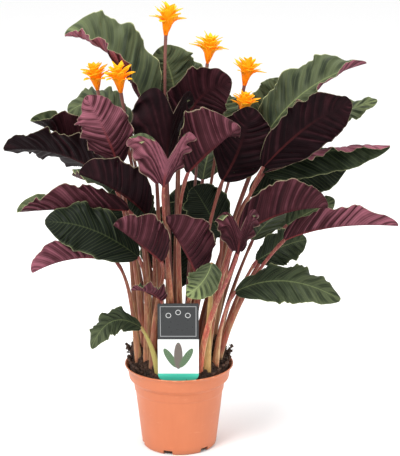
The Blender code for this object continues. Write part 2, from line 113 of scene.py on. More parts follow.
class Nodes(Graph):  # the shader nodes of one material
    def __init__(self, name):
        self.material = bpy.data.materials.new(name)
        self.material.use_nodes = True
        self.tree = self.material.node_tree
        self.place = self.add("ShaderNodeTexCoord", out="Object")

    def mix(self, factor, first, second):
        return self.add("ShaderNodeMix", {0: factor, 6: first, 7: second}, 2, data_type="RGBA")

    def coats(self, colour, *coats):  # each coat is how much of it shows, then its colour
        for share, coat in coats:
            colour = self.mix(share, colour, coat)
        return colour

    def noise(self, scale, detail, rough=0.5, stretch=None):
        place = self.place
        if stretch:
            place = self.add("ShaderNodeMapping", {"Vector": place, "Scale": stretch})
        values = {"Vector": place, "Scale": scale, "Detail": detail, "Roughness": rough}
        return self.add("ShaderNodeTexNoise", values)

    def parts(self, vector):
        split = self.add("ShaderNodeSeparateXYZ", {0: vector}).socket.node
        return [Wire(self, socket) for socket in split.outputs]

    def bladeMap(self):
        return self.parts(self.add("ShaderNodeUVMap", uv_map="blade"))[:2]

    def attributes(self, *names):
        return [self.add("ShaderNodeAttribute", out="Fac", attribute_name=name) for name in names]

    def bump(self, height, distance, strength):
        return self.add("ShaderNodeBump", {"Strength": strength, "Distance": distance, "Height": height})

    def finish(self, **values):
        shader = self.tree.nodes["Principled BSDF"]
        for name, value in values.items():
            self.feed(shader.inputs[name.replace("_", " ")], value)
        return self.material


# The blade's map runs across (0 left margin, 1 right margin) and along its veins (0 base, 1 tip).
leafLooks = {
    "bands": 8.0, "veins": 13.0,
    "upperNoise": ((17.0, 2.0), (45.0, 3.0), (520.0, 2.0)),  # clouds, patches and grain, as scale and detail
    "underNoise": ((16.0, 3.0), (60.0, 3.0), (480.0, 2.0)),
    "nightGreen": (0.0062, 0.0092, 0.0056),
    "deepGreen": (0.0185, 0.0270, 0.0145),
    "mossGreen": (0.079, 0.096, 0.047),
    "freshGreen": (0.235, 0.285, 0.115),
    "marginCream": (0.42, 0.44, 0.22),
    "marginPink": (0.36, 0.27, 0.19),
    "blackWine": (0.0070, 0.0026, 0.0036),
    "wine": (0.046, 0.0120, 0.0160),
    "mauve": (0.285, 0.096, 0.128),
    "ribRed": (0.230, 0.040, 0.040),
}


def leafNodes(name, noises):
    # what both finishes of a blade start from, where reach is 0 at the rib and 1 at the margin
    n = Nodes(name)
    across, along = n.bladeMap()
    tone, length, pleat = n.attributes("tone", "length", "pleat")
    cloud, patch, grain = (n.noise(*size) for size in noises)
    return n, abs(across * 2.0 - 1.0), along, tone, length, pleat, cloud, patch, grain


def upperFace():
    look = leafLooks
    n, reach, along, tone, length, pleat, cloud, patch, grain = leafNodes("leafUpper", look["upperNoise"])
    wander = (cloud - 0.5) * 0.16 + (patch - 0.5) * 0.035
    band = ((along + wander) * (look["bands"] * fullTurn)).sine()
    feather = band.step(-0.35, 0.75) * reach.step(0.04, 0.30) * (1.0 - reach.step(0.62, 0.97) * 0.75)
    feather = feather * (cloud.step(0.25, 0.65) * 0.6 + 0.4)
    vein = ((along + (cloud - 0.5) * 0.01) * (look["veins"] * 2 * fullTurn)).sine()
    # painted shade and light: the blade is darker towards its base inside the plant, and lighter towards its
    # tip and on its pleat ridges
    toneAndPaintedLight = tone * (length.step(0.0, 0.8) * 0.45 + 0.68) + (patch - 0.5) * 0.35
    toneAndPaintedLight = toneAndPaintedLight + length.step(0.55, 1.0) * tone * 0.30
    toneAndPaintedLight = (toneAndPaintedLight + pleat * tone * 0.20).most(0.0).least(1.3)
    dark = n.mix(toneAndPaintedLight.step(0.1, 1.0), look["nightGreen"], look["deepGreen"])
    rib = reach.drop(0.012, 0.040) * (tone * 0.7 + 0.06)
    margin = reach.step(0.972, 0.986).most(length.step(0.987, 0.994))
    colour = n.coats(
        look["nightGreen"],
        (toneAndPaintedLight.step(0.0, 0.42), look["deepGreen"]),
        (toneAndPaintedLight.step(0.18, 0.72), look["mossGreen"]),
        (toneAndPaintedLight.step(0.78, 1.40), look["freshGreen"]),
        (feather * 0.86, dark),
        (vein.step(0.86, 1.0) * 0.12, look["freshGreen"]),
        (rib, look["freshGreen"]),
        (reach.step(0.86, 0.98) * 0.30, look["mossGreen"]),
        (margin * (toneAndPaintedLight.step(0.0, 0.5) * 0.45 + 0.35), look["marginCream"]),
    )
    relief = n.bump(vein * 0.35 + grain * 0.35, 0.0005, 0.6)
    return n.finish(Base_Color=colour, Roughness=grain * 0.14 + 0.38, Specular_IOR_Level=0.08, Normal=relief)


def underFace():
    look = leafLooks
    n, reach, along, tone, length, pleat, cloud, patch, grain = leafNodes("leafUnder", look["underNoise"])
    vein = ((along + (cloud - 0.5) * 0.012) * (look["veins"] * 3 * fullTurn)).sine()
    # painted shade and light: the blade is darker towards its base inside the plant, and paler mauve towards
    # its tip and on its pleat ridges
    toneAndPaintedLight = tone * (length.step(0.0, 0.75) * 0.55 + 0.62) + (cloud - 0.5) * 0.50 + (patch - 0.5) * 0.20
    toneAndPaintedLight = toneAndPaintedLight + pleat * (tone * 0.38 + 0.06) + vein * tone * 0.07
    # painted highlight: paler mauve on the pleat crests
    crestHighlight = pleat.step(0.1, 1.1) * (patch * 0.6 + 0.2) * (tone * 0.60 + 0.04)
    rib = reach.drop(0.03, 0.065) * length.drop(0.0, 0.75) * (tone * 0.9 + 0.12)
    margin = reach.step(0.968, 0.984).most(length.step(0.987, 0.994))
    margin = margin * (tone * 0.2 + 0.50) * (cloud.step(0.36, 0.56) * 0.7 + 0.3)
    colour = n.coats(
        look["blackWine"],
        (toneAndPaintedLight.step(0.02, 0.55), look["wine"]),
        (toneAndPaintedLight.step(0.42, 1.05), look["mauve"]),
        (crestHighlight, look["mauve"]),
        ((vein * -1.0).step(0.55, 1.0) * 0.20, look["blackWine"]),
        (rib, look["ribRed"]),
        (margin, look["marginPink"]),
    )
    relief = n.bump(vein * 0.30 + grain * 0.4, 0.0005, 0.6)
    return n.finish(Base_Color=colour, Roughness=grain * 0.16 + 0.46, Specular_IOR_Level=0.05, Normal=relief)


# The stalk's map runs around it and along it (0 foot, 1 blade).
stalkLooks = {
    "foot": (0.50, 0.205, 0.100), "redFoot": (0.50, 0.075, 0.045), "tan": (0.42, 0.27, 0.115),
    "upper": (0.30, 0.120, 0.062), "redUpper": (0.33, 0.055, 0.066), "darkRed": (0.20, 0.028, 0.036),
    "neck": (0.19, 0.030, 0.035), "paleStreak": (0.60, 0.42, 0.22), "darkStreak": (0.15, 0.036, 0.026),
    "cloud": (0.12, 0.030, 0.022), "sheathEdge": (0.66, 0.50, 0.27), "groove": (0.20, 0.040, 0.030),
    "shade": (0.085, 0.022, 0.020), "fresh": (0.40, 0.38, 0.10),
}


def stalkSkin():
    look = stalkLooks
    n = Nodes("leafStalk")
    around, along = n.bladeMap()
    warm, fresh, shade = n.attributes("warm", "fresh", "shade")
    streaks = n.noise(1.0, 3.0, stretch=(700.0, 700.0, 26.0))
    slow = n.noise(1.0, 2.0, stretch=(90.0, 90.0, 7.0))
    cloud = n.noise(26.0, 2.0)
    edge = (around * (2 * fullTurn) + slow * 5.0).sine()
    foot = n.coats(look["foot"], (warm, look["redFoot"]), (slow.step(0.42, 0.62) * 0.7, look["tan"]))
    upper = n.coats(look["upper"], (warm, look["redUpper"]), (slow.drop(0.38, 0.55) * 0.55, look["darkRed"]))
    colour = n.coats(
        foot,
        (along.step(0.15, 0.70), upper),
        (along.step(0.84, 0.97) * 0.85, look["neck"]),
        (streaks.step(0.50, 0.70) * 0.50, look["paleStreak"]),
        (streaks.drop(0.30, 0.46) * 0.60, look["darkStreak"]),
        (cloud.drop(0.32, 0.60) * 0.55, look["cloud"]),
        (edge.step(0.72, 0.98) * along.drop(0.5, 0.9) * 0.55, look["sheathEdge"]),
        ((edge * -1.0).step(0.60, 1.0) * 0.45, look["groove"]),
        # painted shade on the stalks at the back
        (shade * 0.62, look["shade"]),
        (fresh * (1.0 - along.step(0.75, 1.0) * 0.4), look["fresh"]),
    )
    relief = n.bump(streaks, 0.0008, 0.6)
    return n.finish(Base_Color=colour, Roughness=streaks * 0.2 + 0.36, Specular_IOR_Level=0.25, Normal=relief)


# In millimetres and degrees: root of the stalk, then base, middle and tip of the blade, its width, the way
# its upper face looks, fold and curl of its right and of its left half. Then how pale its upper and its under
# face look, which is each leaf's own tone and, on the dark leaves deep in the plant, painted shade, and
# redness of its stalk. The last six are given where a leaf needs its own: height of its wave, how steeply
# the stalk starts, how far the edge is drawn forward, turn and notch of the tip, and greenness of the stalk.
Leaf = namedtuple(
    "Leaf",
    "root base middle tip width face right left tone warm wave rise sweep twist notch fresh",
    defaults=(4, 0.5, 0.5, 0, 0, 0),
)
leaves = {
    "01": Leaf((-22, 16), (-36, 32, 423), (-83, 58, 500), (-144, 62, 522), 90, (0.35, -0.85, 0.4),
        (10, -20), (40, 60), (0.64, 0.75), 0.2, wave=5, twist=25),
    "02": Leaf((-6, 36), (-2, 90, 410), (-9, 110, 459), (-25, 110, 502), 78, (0.1, -0.9, 0.4),
        (10, -30), (10, -20), (0.5, 0.5), 0.2),
    "03": Leaf((0, 10), (2, 30, 393), (24, 30, 446), (67, 20, 472), 74, (-0.3, 0.85, -0.1),
        (0, -10), (0, -40), (0.3, 0.27), 0.2),
    "04": Leaf((-12, -6), (-15, -40, 352), (-12, -50, 399), (-5, -55, 445), 104, (0.1, 0.95, 0.15),
        (10, 10), (60, 20), (0.3, 0.13), 0.2, wave=5, sweep=0.6, notch=1),
    "05": Leaf((-6, -33), (-16, -115, 366), (-13, -122, 386), (-10, -130, 405), 100, (0.15, 0.95, 0.1),
        (5, 10), (55, 25), (0.5, 0.72), 0.4, rise=0.6, sweep=0.55, notch=1),
    "06": Leaf((-43, -12), (-72, -40, 377), (-88, -52, 423), (-111, -40, 463), 62, (0.25, 0.9, 0.1),
        (0, 10), (10, 20), (0.5, 0.62), 0.4, wave=5),
    "07": Leaf((-42, 6), (-84, 20, 365), (-132, 30, 394), (-187, 30, 420), 74, (0, 0.9, 0.45),
        (80, 20), (0, 10), (0.6, 0.25), 0.3, twist=-60),
    "08": Leaf((-34, 26), (-67, 85, 378), (-103, 100, 426), (-145, 100, 417), 66, (0, -0.6, 0.8),
        (0, -20), (0, -20), (0.6, 0.5), 0.3),
    "09": Leaf((-52, -4), (-79, 0, 344), (-146, 10, 381), (-220, 20, 384), 76, (0, 0.75, 0.65),
        (20, 10), (10, -10), (0.15, 0.08), 0.2),
    "10": Leaf((-31, -5), (-36, -70, 323), (-74, -85, 358), (-118, -80, 376), 76, (0, 0.95, 0.3),
        (90, 20), (0, 10), (0.3, 0.12), 0.3),
    "11": Leaf((-35, -20), (-58, -50, 324), (-125, -60, 329), (-196, -60, 324), 64, (0, 0.9, 0.4),
        (70, 20), (0, 10), (0.6, 0.45), 0.2, twist=-60),
    "12": Leaf((-40, -31), (-46, -70, 269), (-102, -90, 310), (-158, -100, 322), 62, (0, -0.75, 0.65),
        (0, -10), (0, -20), (0.05, 0.4), 0.1, wave=5),
    "13": Leaf((-50, -22), (-74, -50, 258), (-125, -70, 269), (-178, -70, 250), 62, (0, 0.9, 0.4),
        (70, 20), (0, 10), (0.55, 0.65), 0.1),
    "14": Leaf((-33, -41), (-18, -88, 269), (-44, -105, 296), (-76, -100, 319), 76, (0, 0.95, 0.3),
        (80, 20), (0, 10), (0.5, 0.44), 0.2, rise=0.85),
    "15": Leaf((4, -42), (23, -88, 253), (8, -98, 287), (-17, -80, 323), 80, (0, 1, 0),
        (80, 20), (0, 10), (0.5, 0.4), 0.3, rise=0.9),
    "16": Leaf((25, -45), (71, -120, 286), (73, -125, 303), (74, -130, 320), 60, (0.1, 0.95, 0.1),
        (10, 10), (40, 25), (0.5, 0.45), 0.8, wave=3, rise=0.6, sweep=0.8, notch=1),
    "17": Leaf((2, -24), (11, -70, 374), (41, -75, 404), (75, -70, 432), 104, (0, 0.95, 0.2),
        (0, 0), (85, 10), (0.6, 0.42), 0.5, wave=5, twist=-50),
    "18": Leaf((15, -8), (54, 0, 348), (77, 10, 392), (89, 20, 440), 72, (0, 0.95, 0.2),
        (0, -20), (0, -20), (0.4, 0.12), 0.5, wave=5),
    "19": Leaf((27, 17), (106, 40, 391), (159, 40, 455), (235, 30, 493), 74, (-0.2, -0.85, 0.4),
        (40, 40), (0, -20), (0.56, 0.75), 0.2, wave=5, twist=-50),
    "20": Leaf((31, -12), (103, -30, 372), (161, -30, 427), (212, -30, 452), 66, (0, 0.9, 0.3),
        (0, -10), (0, -20), (0.4, 0.1), 0.5),
    "21": Leaf((38, 38), (157, 90, 392), (209, 100, 416), (258, 100, 434), 38, (0, -0.5, 0.85),
        (0, -10), (0, -10), (0.75, 0.6), 0.3),
    "22": Leaf((40, 4), (105, 25, 352), (185, 25, 381), (266, 15, 391), 56, (0, -0.8, 0.55),
        (0, -10), (85, 60), (0.28, 0.8), 0.6, twist=20),
    "23": Leaf((35, 27), (89, 50, 318), (156, 55, 346), (218, 55, 359), 66, (0, -0.85, 0.5),
        (0, -10), (0, -10), (0.1, 0.4), 0.3),
    "24": Leaf((34, -28), (75, -80, 302), (128, -90, 331), (180, -90, 337), 80, (0, 0.95, 0.3),
        (0, 10), (80, 20), (0.5, 0.42), 0.7),
    "25": Leaf((47, -18), (129, -50, 286), (191, -60, 306), (269, -60, 307), 54, (0, 0.9, 0.4),
        (0, 10), (60, 20), (0.5, 0.62), 0.8),
    "26": Leaf((50, 9), (136, 30, 283), (168, 40, 299), (200, 40, 315), 50, (0, -0.5, 0.85),
        (0, -10), (0, -10), (0.5, 0.4), 0.4),
    "27": Leaf((50, -5), (97, 0, 244), (131, 0, 264), (162, 0, 273), 46, (0, -0.7, 0.7),
        (0, -10), (0, -10), (0.3, 0.4), 0.4),
    "28": Leaf((45, -30), (68, -80, 228), (129, -100, 249), (196, -110, 228), 58, (0, -0.55, 0.85),
        (0, -20), (0, -20), (0.38, 0.4), 0.7),
    "29": Leaf((-24, -49), (-44, -70, 179), (-80, -85, 193), (-106, -90, 159), 38, (-0.2, -0.5, 0.85),
        (0, -10), (0, -10), (0.4, 0.4), 0.1, wave=3, fresh=0.7),
    "30": Leaf((-10, -48), (-20, -64, 212), (-35, -80, 229), (-57, -85, 233), 38, (0, 0.6, 0.8),
        (25, 20), (0, 10), (0.4, 0.6), 0.2, rise=0.95),
    "31": Leaf((36, -42), (41, -115, 277), (31, -135, 260), (11, -140, 243), 36, (0, -0.7, 0.7),
        (0, -10), (0, -10), (0.85, 0.4), 0.2, wave=3, rise=0.6, fresh=0.4),
    # 32 stands at the back of the plant: its near black tone is painted shade
    "32": Leaf((-2, 50), (27, 85, 236), (14, 100, 270), (27, 110, 325), 80, (0, -0.9, 0.2),
        (0, -10), (0, -10), (0.08, 0.3), 0.3),
    "33": Leaf((10, 48), (50, 90, 383), (53, 110, 419), (56, 130, 441), 64, (0, -0.9, 0.4),
        (0, -20), (0, -20), (0.6, 0.5), 0.3),
    "34": Leaf((22, 42), (108, 90, 381), (121, 100, 424), (137, 100, 462), 60, (0, -0.9, 0.4),
        (0, -20), (0, -20), (0.65, 0.5), 0.3),
    "35": Leaf((8, 34), (30, 80, 330), (45, 150, 370), (60, 235, 345), 84, (0, 0, 1),
        (10, -20), (10, -20), (0.5, 0.4), 0.3),
    "36": Leaf((-22, 42), (-60, 75, 300), (-100, 140, 330), (-130, 215, 300), 80, (0, 0, 1),
        (10, -20), (10, -20), (0.5, 0.4), 0.3),
    "37": Leaf((47, 24), (95, 75, 250), (140, 130, 275), (190, 180, 250), 74, (0, 0, 1),
        (10, -20), (10, -20), (0.5, 0.4), 0.3),
    # 38 to 40 stand deep in the plant: their near black upper faces are painted shade
    "38": Leaf((-14, 52), (2, 62, 190), (-4, 84, 240), (-12, 100, 298), 106, (0, -0.95, 0.2),
        (10, 10), (10, 10), (0.04, 0.3), 0.3),
    "39": Leaf((28, 4), (55, 17, 271), (35, 20, 309), (18, 24, 336), 58, (0.2, -0.9, 0.3),
        (10, 10), (10, 10), (0.06, 0.3), 0.3),
    "40": Leaf((-28, 36), (-35, 45, 255), (-58, 50, 291), (-86, 50, 326), 68, (-0.2, -0.9, 0.3),
        (10, 10), (10, 10), (0.06, 0.3), 0.3),
}
Bloom = namedtuple("Bloom", "root foot top turn")  # millimetres, and the first bract's turn in degrees
blooms = {
    "1": Bloom((-34, 14), (-101, 33, 457), (-106, 30, 495), 10),
    "2": Bloom((-16, 27), (-70, 0, 459), (-75, 0, 500), 50),
    "3": Bloom((-8, 21), (-16, 50, 523), (-10, 50, 566), 20),
    "4": Bloom((6, 22), (36, 60, 486), (42, 60, 528), 80),
    "5": Bloom((17, 27), (83, 60, 458), (90, 60, 498), 0),
    "6": Bloom((15, 12), (82, 35, 422), (85, 35, 459), 40),
}

blade = {
    "steps": 96, "columns": 14, "crowding": 0.85,  # grid along the blade, and across each half
    "start": 0.012, "span": 0.983, "overlap": 3.0,  # of the midrib's length, and with the stalk
    "thick": 0.55, "thinner": 0.55, "ribHeight": 1.5, "ribWidth": 0.045, "ribTaper": 0.75, "ribAbove": 0.25,
    "twistStart": 0.55, "outline": ((1.6, 0.045), (3.1, 0.03)), "waves": 3.5,
    "slant": 0.13, "fan": 0.75,  # how far forward the veins run, in a plain blade and in a funnel
    "pleats": 12.0, "pleatHeight": 2.1, "finePleats": 2.1, "fineHeight": 0.35,
    "ruffles": 8.5, "ruffleHeight": 3.0, "fineRuffles": 1.63, "fineRuffleHeight": 0.55,
    "nip": 0.022, "fullWidth": 70,  # a blade narrower than this has lower pleats and ruffles
}
stalk = {
    "rings": 26, "sides": 12, "radius": 2.2, "slim": 0.92, "depth": 13.0, "knee": 6.0,
    "out": 0.8, "into": 0.22,  # how straight it leaves the soil and comes in to the blade
    "sheath": 4.2, "sheathEnd": 0.82, "sheathWide": 1.35, "sheathDeep": 0.8, "groove": 0.5,
    "neck": 0.93, "neckLength": 0.045, "neckSwell": 0.55,
    "shadeFrom": -34, "shadeOver": 66,  # painted shade: the stalks at the back are darker
}
soilTop = {"level": 100.0, "mound": 11.0, "tilt": 0.25, "radius": 62.0, "lump": 2.2}


def unit(v):
    return v / np.maximum(np.linalg.norm(v, axis=-1, keepdims=True), 1e-9)


def sway(cycles, along, shift):
    return np.sin(fullTurn * cycles * along + shift)


def soilHeight(x, y):
    reach = min(1.0, math.hypot(x, y) / soilTop["radius"])
    mound = soilTop["mound"] * (1 - reach**4) * (1 - soilTop["tilt"] * x / soilTop["radius"])
    lump = math.sin(0.21 * x + 1.0) * math.sin(0.17 * y + 0.4) + 0.6 * math.sin(0.4 * x - 0.31 * y)
    return soilTop["level"] + mound + soilTop["lump"] * lump * (1 - reach**6)


def bladeProfile(t, notch):
    rise, fall = 0.5, 0.62 - 0.5 * notch
    peak = rise / (rise + fall)
    return (t**rise * (1 - t) ** fall) / (peak**rise * (1 - peak) ** fall)


def midrib(leaf, t):
    base, middle, tip = (np.array(p, float) for p in (leaf.base, leaf.middle, leaf.tip))
    bend = 2 * middle - (base + tip) / 2
    t = np.asarray(t, float)[..., None]
    point = (1 - t) ** 2 * base + 2 * t * (1 - t) * bend + t**2 * tip
    return point, unit(2 * (1 - t) * (bend - base) + 2 * t * (tip - bend))


def veinSlant(leaf):
    # how far forward the veins run to the margin, as a share of the length
    return blade["slant"] * (1 - leaf.notch) + blade["fan"] * leaf.notch


def bladeSurface(leaf, ts, shares, seed):
    # grid of points on the blade's middle surface, len(ts) by len(shares), and how high its pleats are there
    point, along = midrib(leaf, ts)
    face = np.array(leaf.face, float)
    up = unit(face - (along @ face)[:, None] * along)
    across = np.cross(along, up)
    late = np.maximum(0.0, (ts - blade["twistStart"]) / (1 - blade["twistStart"]))
    turn = (math.radians(leaf.twist) * late**1.5)[:, None]
    up, across = np.cos(turn) * up + np.sin(turn) * across, np.cos(turn) * across - np.sin(turn) * up
    up, across, along = up[:, None, :], across[:, None, :], along[:, None, :]
    t = ts[:, None]
    side = np.where(shares < 0, -1.0, 1.0)[None, :]
    reach = np.abs(shares)[None, :]
    phase = np.random.default_rng(seed).uniform(0, fullTurn, 8)
    # the outline, folded and curled, with its edge drawn forward
    half = (leaf.width / 2 * bladeProfile(ts, leaf.notch) + stalk["radius"] * (1 - ts))[:, None]
    (slow, swing), (quick, jog) = blade["outline"]
    half = half * (1 + swing * sway(slow, t, phase[5] + side) + jog * sway(quick, t, phase[6] + 2 * side))
    fold = np.radians(np.where(side > 0, leaf.right[0], leaf.left[0]))
    curl = np.radians(np.where(side > 0, leaf.right[1], leaf.left[1]))
    angle, lean = fold + curl * reach / 2, fold + curl * reach
    level, raised = (side * np.cos(angle))[..., None], np.sin(angle)[..., None]
    grid = point[:, None, :] + (half * reach)[..., None] * (level * across + raised * up)
    forward = (1 - leaf.notch) * reach**1.5 + leaf.notch * np.sin(0.85 * math.pi * reach)
    grid = grid + (leaf.sweep * half * forward * (1 - t + t * leaf.notch))[..., None] * along
    # waves, pleats along the veins and ruffles at the margin, none of them at the base and the tip
    fade = np.minimum(1.0, np.minimum(5 * t, 4 * (1 - t)))
    small = min(1, leaf.width / blade["fullWidth"])
    lift = leaf.wave * reach**2 * sway(blade["waves"], t, np.where(side > 0, 1.9, 0.4) + leaf.width) * fade
    vein = t - veinSlant(leaf) * reach
    uneven = vein + 0.020 * sway(2.3, vein, phase[7] + side) + 0.009 * sway(5.9, vein, phase[3] + 2 * side)
    strength = 0.58 + 0.42 * sway(2.7, vein, phase[2] + 2.2 * side) * np.cos(fullTurn * 0.9 * t + phase[4])
    coarse = sway(blade["pleats"] * (1 - 0.6 * leaf.notch), uneven, 0)
    fine = sway(blade["pleats"] * blade["finePleats"], uneven, phase[6])
    pleat = (coarse + blade["fineHeight"] * (1 - leaf.notch) * fine) * strength
    ridge = pleat * np.minimum(reach * 4, 1) * (1 - 0.3 * reach) * (1 - 0.3 * leaf.notch)
    lift = lift - blade["pleatHeight"] * ridge * fade * small
    wobble = t + 0.018 * sway(3, t, phase[0] + side)
    fine = sway(blade["ruffles"] * blade["fineRuffles"], wobble, phase[2] + side)
    ruffle = sway(blade["ruffles"], wobble, phase[1] + 2 * side) + blade["fineRuffleHeight"] * fine
    swell = 0.55 + 0.45 * sway(1.7, t, phase[3] + 1.3 * side)
    calm = blade["ruffleHeight"] * (1 - 0.85 * leaf.notch)
    lift = lift + calm * ruffle * swell * reach**3.2 * fade * small
    level, raised = np.cos(lean)[..., None], (side * np.sin(lean))[..., None]
    grid = grid + lift[..., None] * (level * up - raised * across)
    nip = blade["nip"] * sway(6.3, t, phase[4] + side) * reach**3 * fade * half
    grid = grid + (nip * side)[..., None] * (level * across + raised * up)
    return grid, pleat * np.minimum(reach * 6, 1)


def stalkPath(root, end, arrive, rise, count):
    # points on a stalk and the way it runs there, from below the soil to the end, where it comes in as arrive
    foot = np.array([*root, soilHeight(*root)])
    end = np.array(end, float)
    first = unit(rise * np.array([0, 0, 1.0]) + (1 - rise) * unit(end - foot))
    knee = foot + first * stalk["knee"]
    reach = np.linalg.norm(end - knee)
    out = knee + first * reach * rise * stalk["out"]
    into = end - unit(0.5 * arrive + 0.5 * unit(end - knee)) * reach * stalk["into"]
    path = [(foot - first * stalk["depth"], first), (foot, first)]
    for i in range(count):
        t = i / (count - 1)
        s = 1 - t
        point = s**3 * knee + 3 * s * s * t * out + 3 * s * t * t * into + t**3 * end
        path.append((point, unit(s * s * (out - knee) + 2 * s * t * (into - out) + t * t * (end - into))))
    return path


def stalkRings(leaf, path):
    # points round a leaf's stalk, a grooved sheath low down that swells under the blade, and their map
    face = np.array(leaf.face, float)
    radius, sheath, sides = stalk["radius"], stalk["sheath"], stalk["sides"]
    points, maps = [], []
    for i, (centre, ahead) in enumerate(path):
        s = i / (len(path) - 1)
        up = unit(face - (face @ ahead) * ahead)
        side = np.cross(ahead, up)
        spread = max(0.0, 1 - s / stalk["sheathEnd"]) ** 1.35
        past = (s - stalk["neck"]) / stalk["neckLength"]
        slim = radius * stalk["slim"] + stalk["neckSwell"] * math.exp(-(past**2))
        wide = slim + (sheath * stalk["sheathWide"] - radius) * spread
        deep = slim + (sheath * stalk["sheathDeep"] - radius) * spread
        for j in range(sides):
            turn = math.pi * (1 - 2 * (j + 0.5) / sides)
            dip = 1 - stalk["groove"] * spread * max(0, math.sin(turn)) ** 3
            points.append(centre + wide * math.cos(turn) * side + deep * dip * math.sin(turn) * up)
            maps.append((j / sides, s))
    return points, maps


def circle(radius, sides, height):
    turns = [fullTurn * j / sides for j in range(sides)]
    return [(radius * math.cos(turn), radius * math.sin(turn), height) for turn in turns]


def loopFaces(loops):
    # faces between rings of point numbers, lowest first, where a ring of one point closes an end
    faces = []
    for low, high in zip(loops, loops[1:]):
        sides = max(len(low), len(high))
        for j in range(sides):
            k = (j + 1) % sides
            if len(low) == 1:
                faces.append((low[0], high[k], high[j]))
            elif len(high) == 1:
                faces.append((low[j], low[k], high[0]))
            else:
                faces.append((low[j], low[k], high[k], high[j]))
    return faces


def tubeFaces(rings, sides, start=0):
    loops = [range(start + i * sides, start + (i + 1) * sides) for i in range(rings)]
    return loopFaces(loops) + [tuple(loops[-1]), tuple(reversed(loops[0]))]


def sheetFaces(rows, columns):
    # faces of a thin closed sheet, whose upper grid of points comes before its lower one, and which are lower
    count = rows * columns
    faces, lower = [], []
    for i in range(rows - 1):
        for a in range(i * columns, (i + 1) * columns - 1):
            b, c, d = a + 1, a + columns + 1, a + columns
            faces += [(a, b, c, d), (count + a, count + d, count + c, count + b)]
            lower += [0, 1]
        for a, flip in ((i * columns, False), ((i + 1) * columns - 1, True)):
            ring = (a, a + columns, count + a + columns, count + a)
            faces.append(ring[::-1] if flip else ring)
            lower.append(0)
    for i, flip in ((0, True), (rows - 1, False)):
        for a in range(i * columns, (i + 1) * columns - 1):
            ring = (a, a + 1, count + a + 1, count + a)
            faces.append(ring[::-1] if flip else ring)
            lower.append(1)
    return faces, lower


def stand(name, data):
    made = bpy.data.objects.new(name, data)
    bpy.context.scene.collection.objects.link(made)
    return made


def makeMesh(name, points, faces, slots=(), indices=None):
    mesh = bpy.data.meshes.new(name)
    mesh.from_pydata((np.asarray(points, float) * mm).tolist(), [], faces)
    for slot in slots:
        mesh.materials.append(slot)
    if indices:
        mesh.polygons.foreach_set("material_index", np.asarray(indices, np.int32))
    mesh.shade_smooth()
    return stand(name, mesh)


def ringMesh(name, rings, slots=()):
    points, loops = [], []
    for ring in rings:
        loops.append(range(len(points), len(points) + len(ring)))
        points += ring
    return makeMesh(name, points, loopFaces(loops), slots)


def paint(mesh, maps, values):
    # writes the blade map, one u, v per vertex, and float attributes, one value per vertex or one for all
    layer = mesh.uv_layers.new(name="blade")
    corner = np.empty(len(mesh.loops), np.int32)
    mesh.loops.foreach_get("vertex_index", corner)
    layer.data.foreach_set("uv", np.asarray(maps, np.float32)[corner].ravel())
    for name, data in values.items():
        every = (np.zeros(len(mesh.vertices)) + data).astype(np.float32)
        mesh.attributes.new(name, "FLOAT", "POINT").data.foreach_set("value", every)


def makeLeaf(number, leaf, finishes, seed):
    half = blade["columns"]
    shares = np.concatenate([-np.linspace(1, 0, half + 1), np.linspace(0, 1, half + 1)[1:]])
    shares = np.sign(shares) * np.abs(shares) ** blade["crowding"]  # closer together at the margins
    ts = blade["start"] + blade["span"] * np.linspace(0, 1, blade["steps"])
    grid, pleat = bladeSurface(leaf, ts, shares, seed)
    normal = unit(np.cross(unit(np.gradient(grid, axis=1)), unit(np.gradient(grid, axis=0))))
    thick = blade["thick"] * (1 - blade["thinner"] * np.abs(shares)[None, :, None] ** 4)
    rib = np.exp(-((shares[None, :] / blade["ribWidth"]) ** 2)) * (1 - blade["ribTaper"] * ts[:, None])
    rib = blade["ribHeight"] * rib[..., None]
    upper = grid + normal * thick / 2 - normal * blade["ribAbove"] * rib
    lower = grid - normal * thick / 2 - normal * rib
    rows, columns = grid.shape[:2]
    count = rows * columns
    base, arrive = midrib(leaf, np.array(0.0))
    path = stalkPath(leaf.root, base + arrive * blade["overlap"], arrive, leaf.rise, stalk["rings"])
    stalkPoints, stalkMap = stalkRings(leaf, path)
    points = np.concatenate([upper.reshape(-1, 3), lower.reshape(-1, 3), stalkPoints])
    faces, indices = sheetFaces(rows, columns)
    tube = tubeFaces(len(path), stalk["sides"], 2 * count)
    made = makeMesh("leafPiece_" + number, points, faces + tube, finishes, indices + [2] * len(tube))
    veins = ts[:, None] - veinSlant(leaf) * np.abs(shares)[None, :]
    bladeMap = np.stack(np.broadcast_arrays((shares[None, :] + 1) / 2, veins), -1).reshape(-1, 2)
    lengths, pleats, tones = np.repeat(ts, columns), pleat.ravel(), np.ones(count)
    rest = np.zeros(len(stalkPoints))
    paint(made.data, np.concatenate([bladeMap, bladeMap, stalkMap]), {
        "tone": np.concatenate([tones * leaf.tone[0], tones * leaf.tone[1], rest]),
        "length": np.concatenate([lengths, lengths, rest]),
        "pleat": np.concatenate([pleats, -pleats, rest]),
        "warm": leaf.warm,
        "fresh": leaf.fresh,
        "shade": min(1.0, max(0.0, (leaf.root[1] - stalk["shadeFrom"]) / stalk["shadeOver"])),
    })
    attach(made, "root")
    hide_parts("leaf_" + number)


finishes = [upperFace(), underFace(), stalkSkin()]
for index, (number, leaf) in enumerate(leaves.items()):
    makeLeaf(number, leaf, finishes, 40 + index)
print("leaves:", len(leaves))


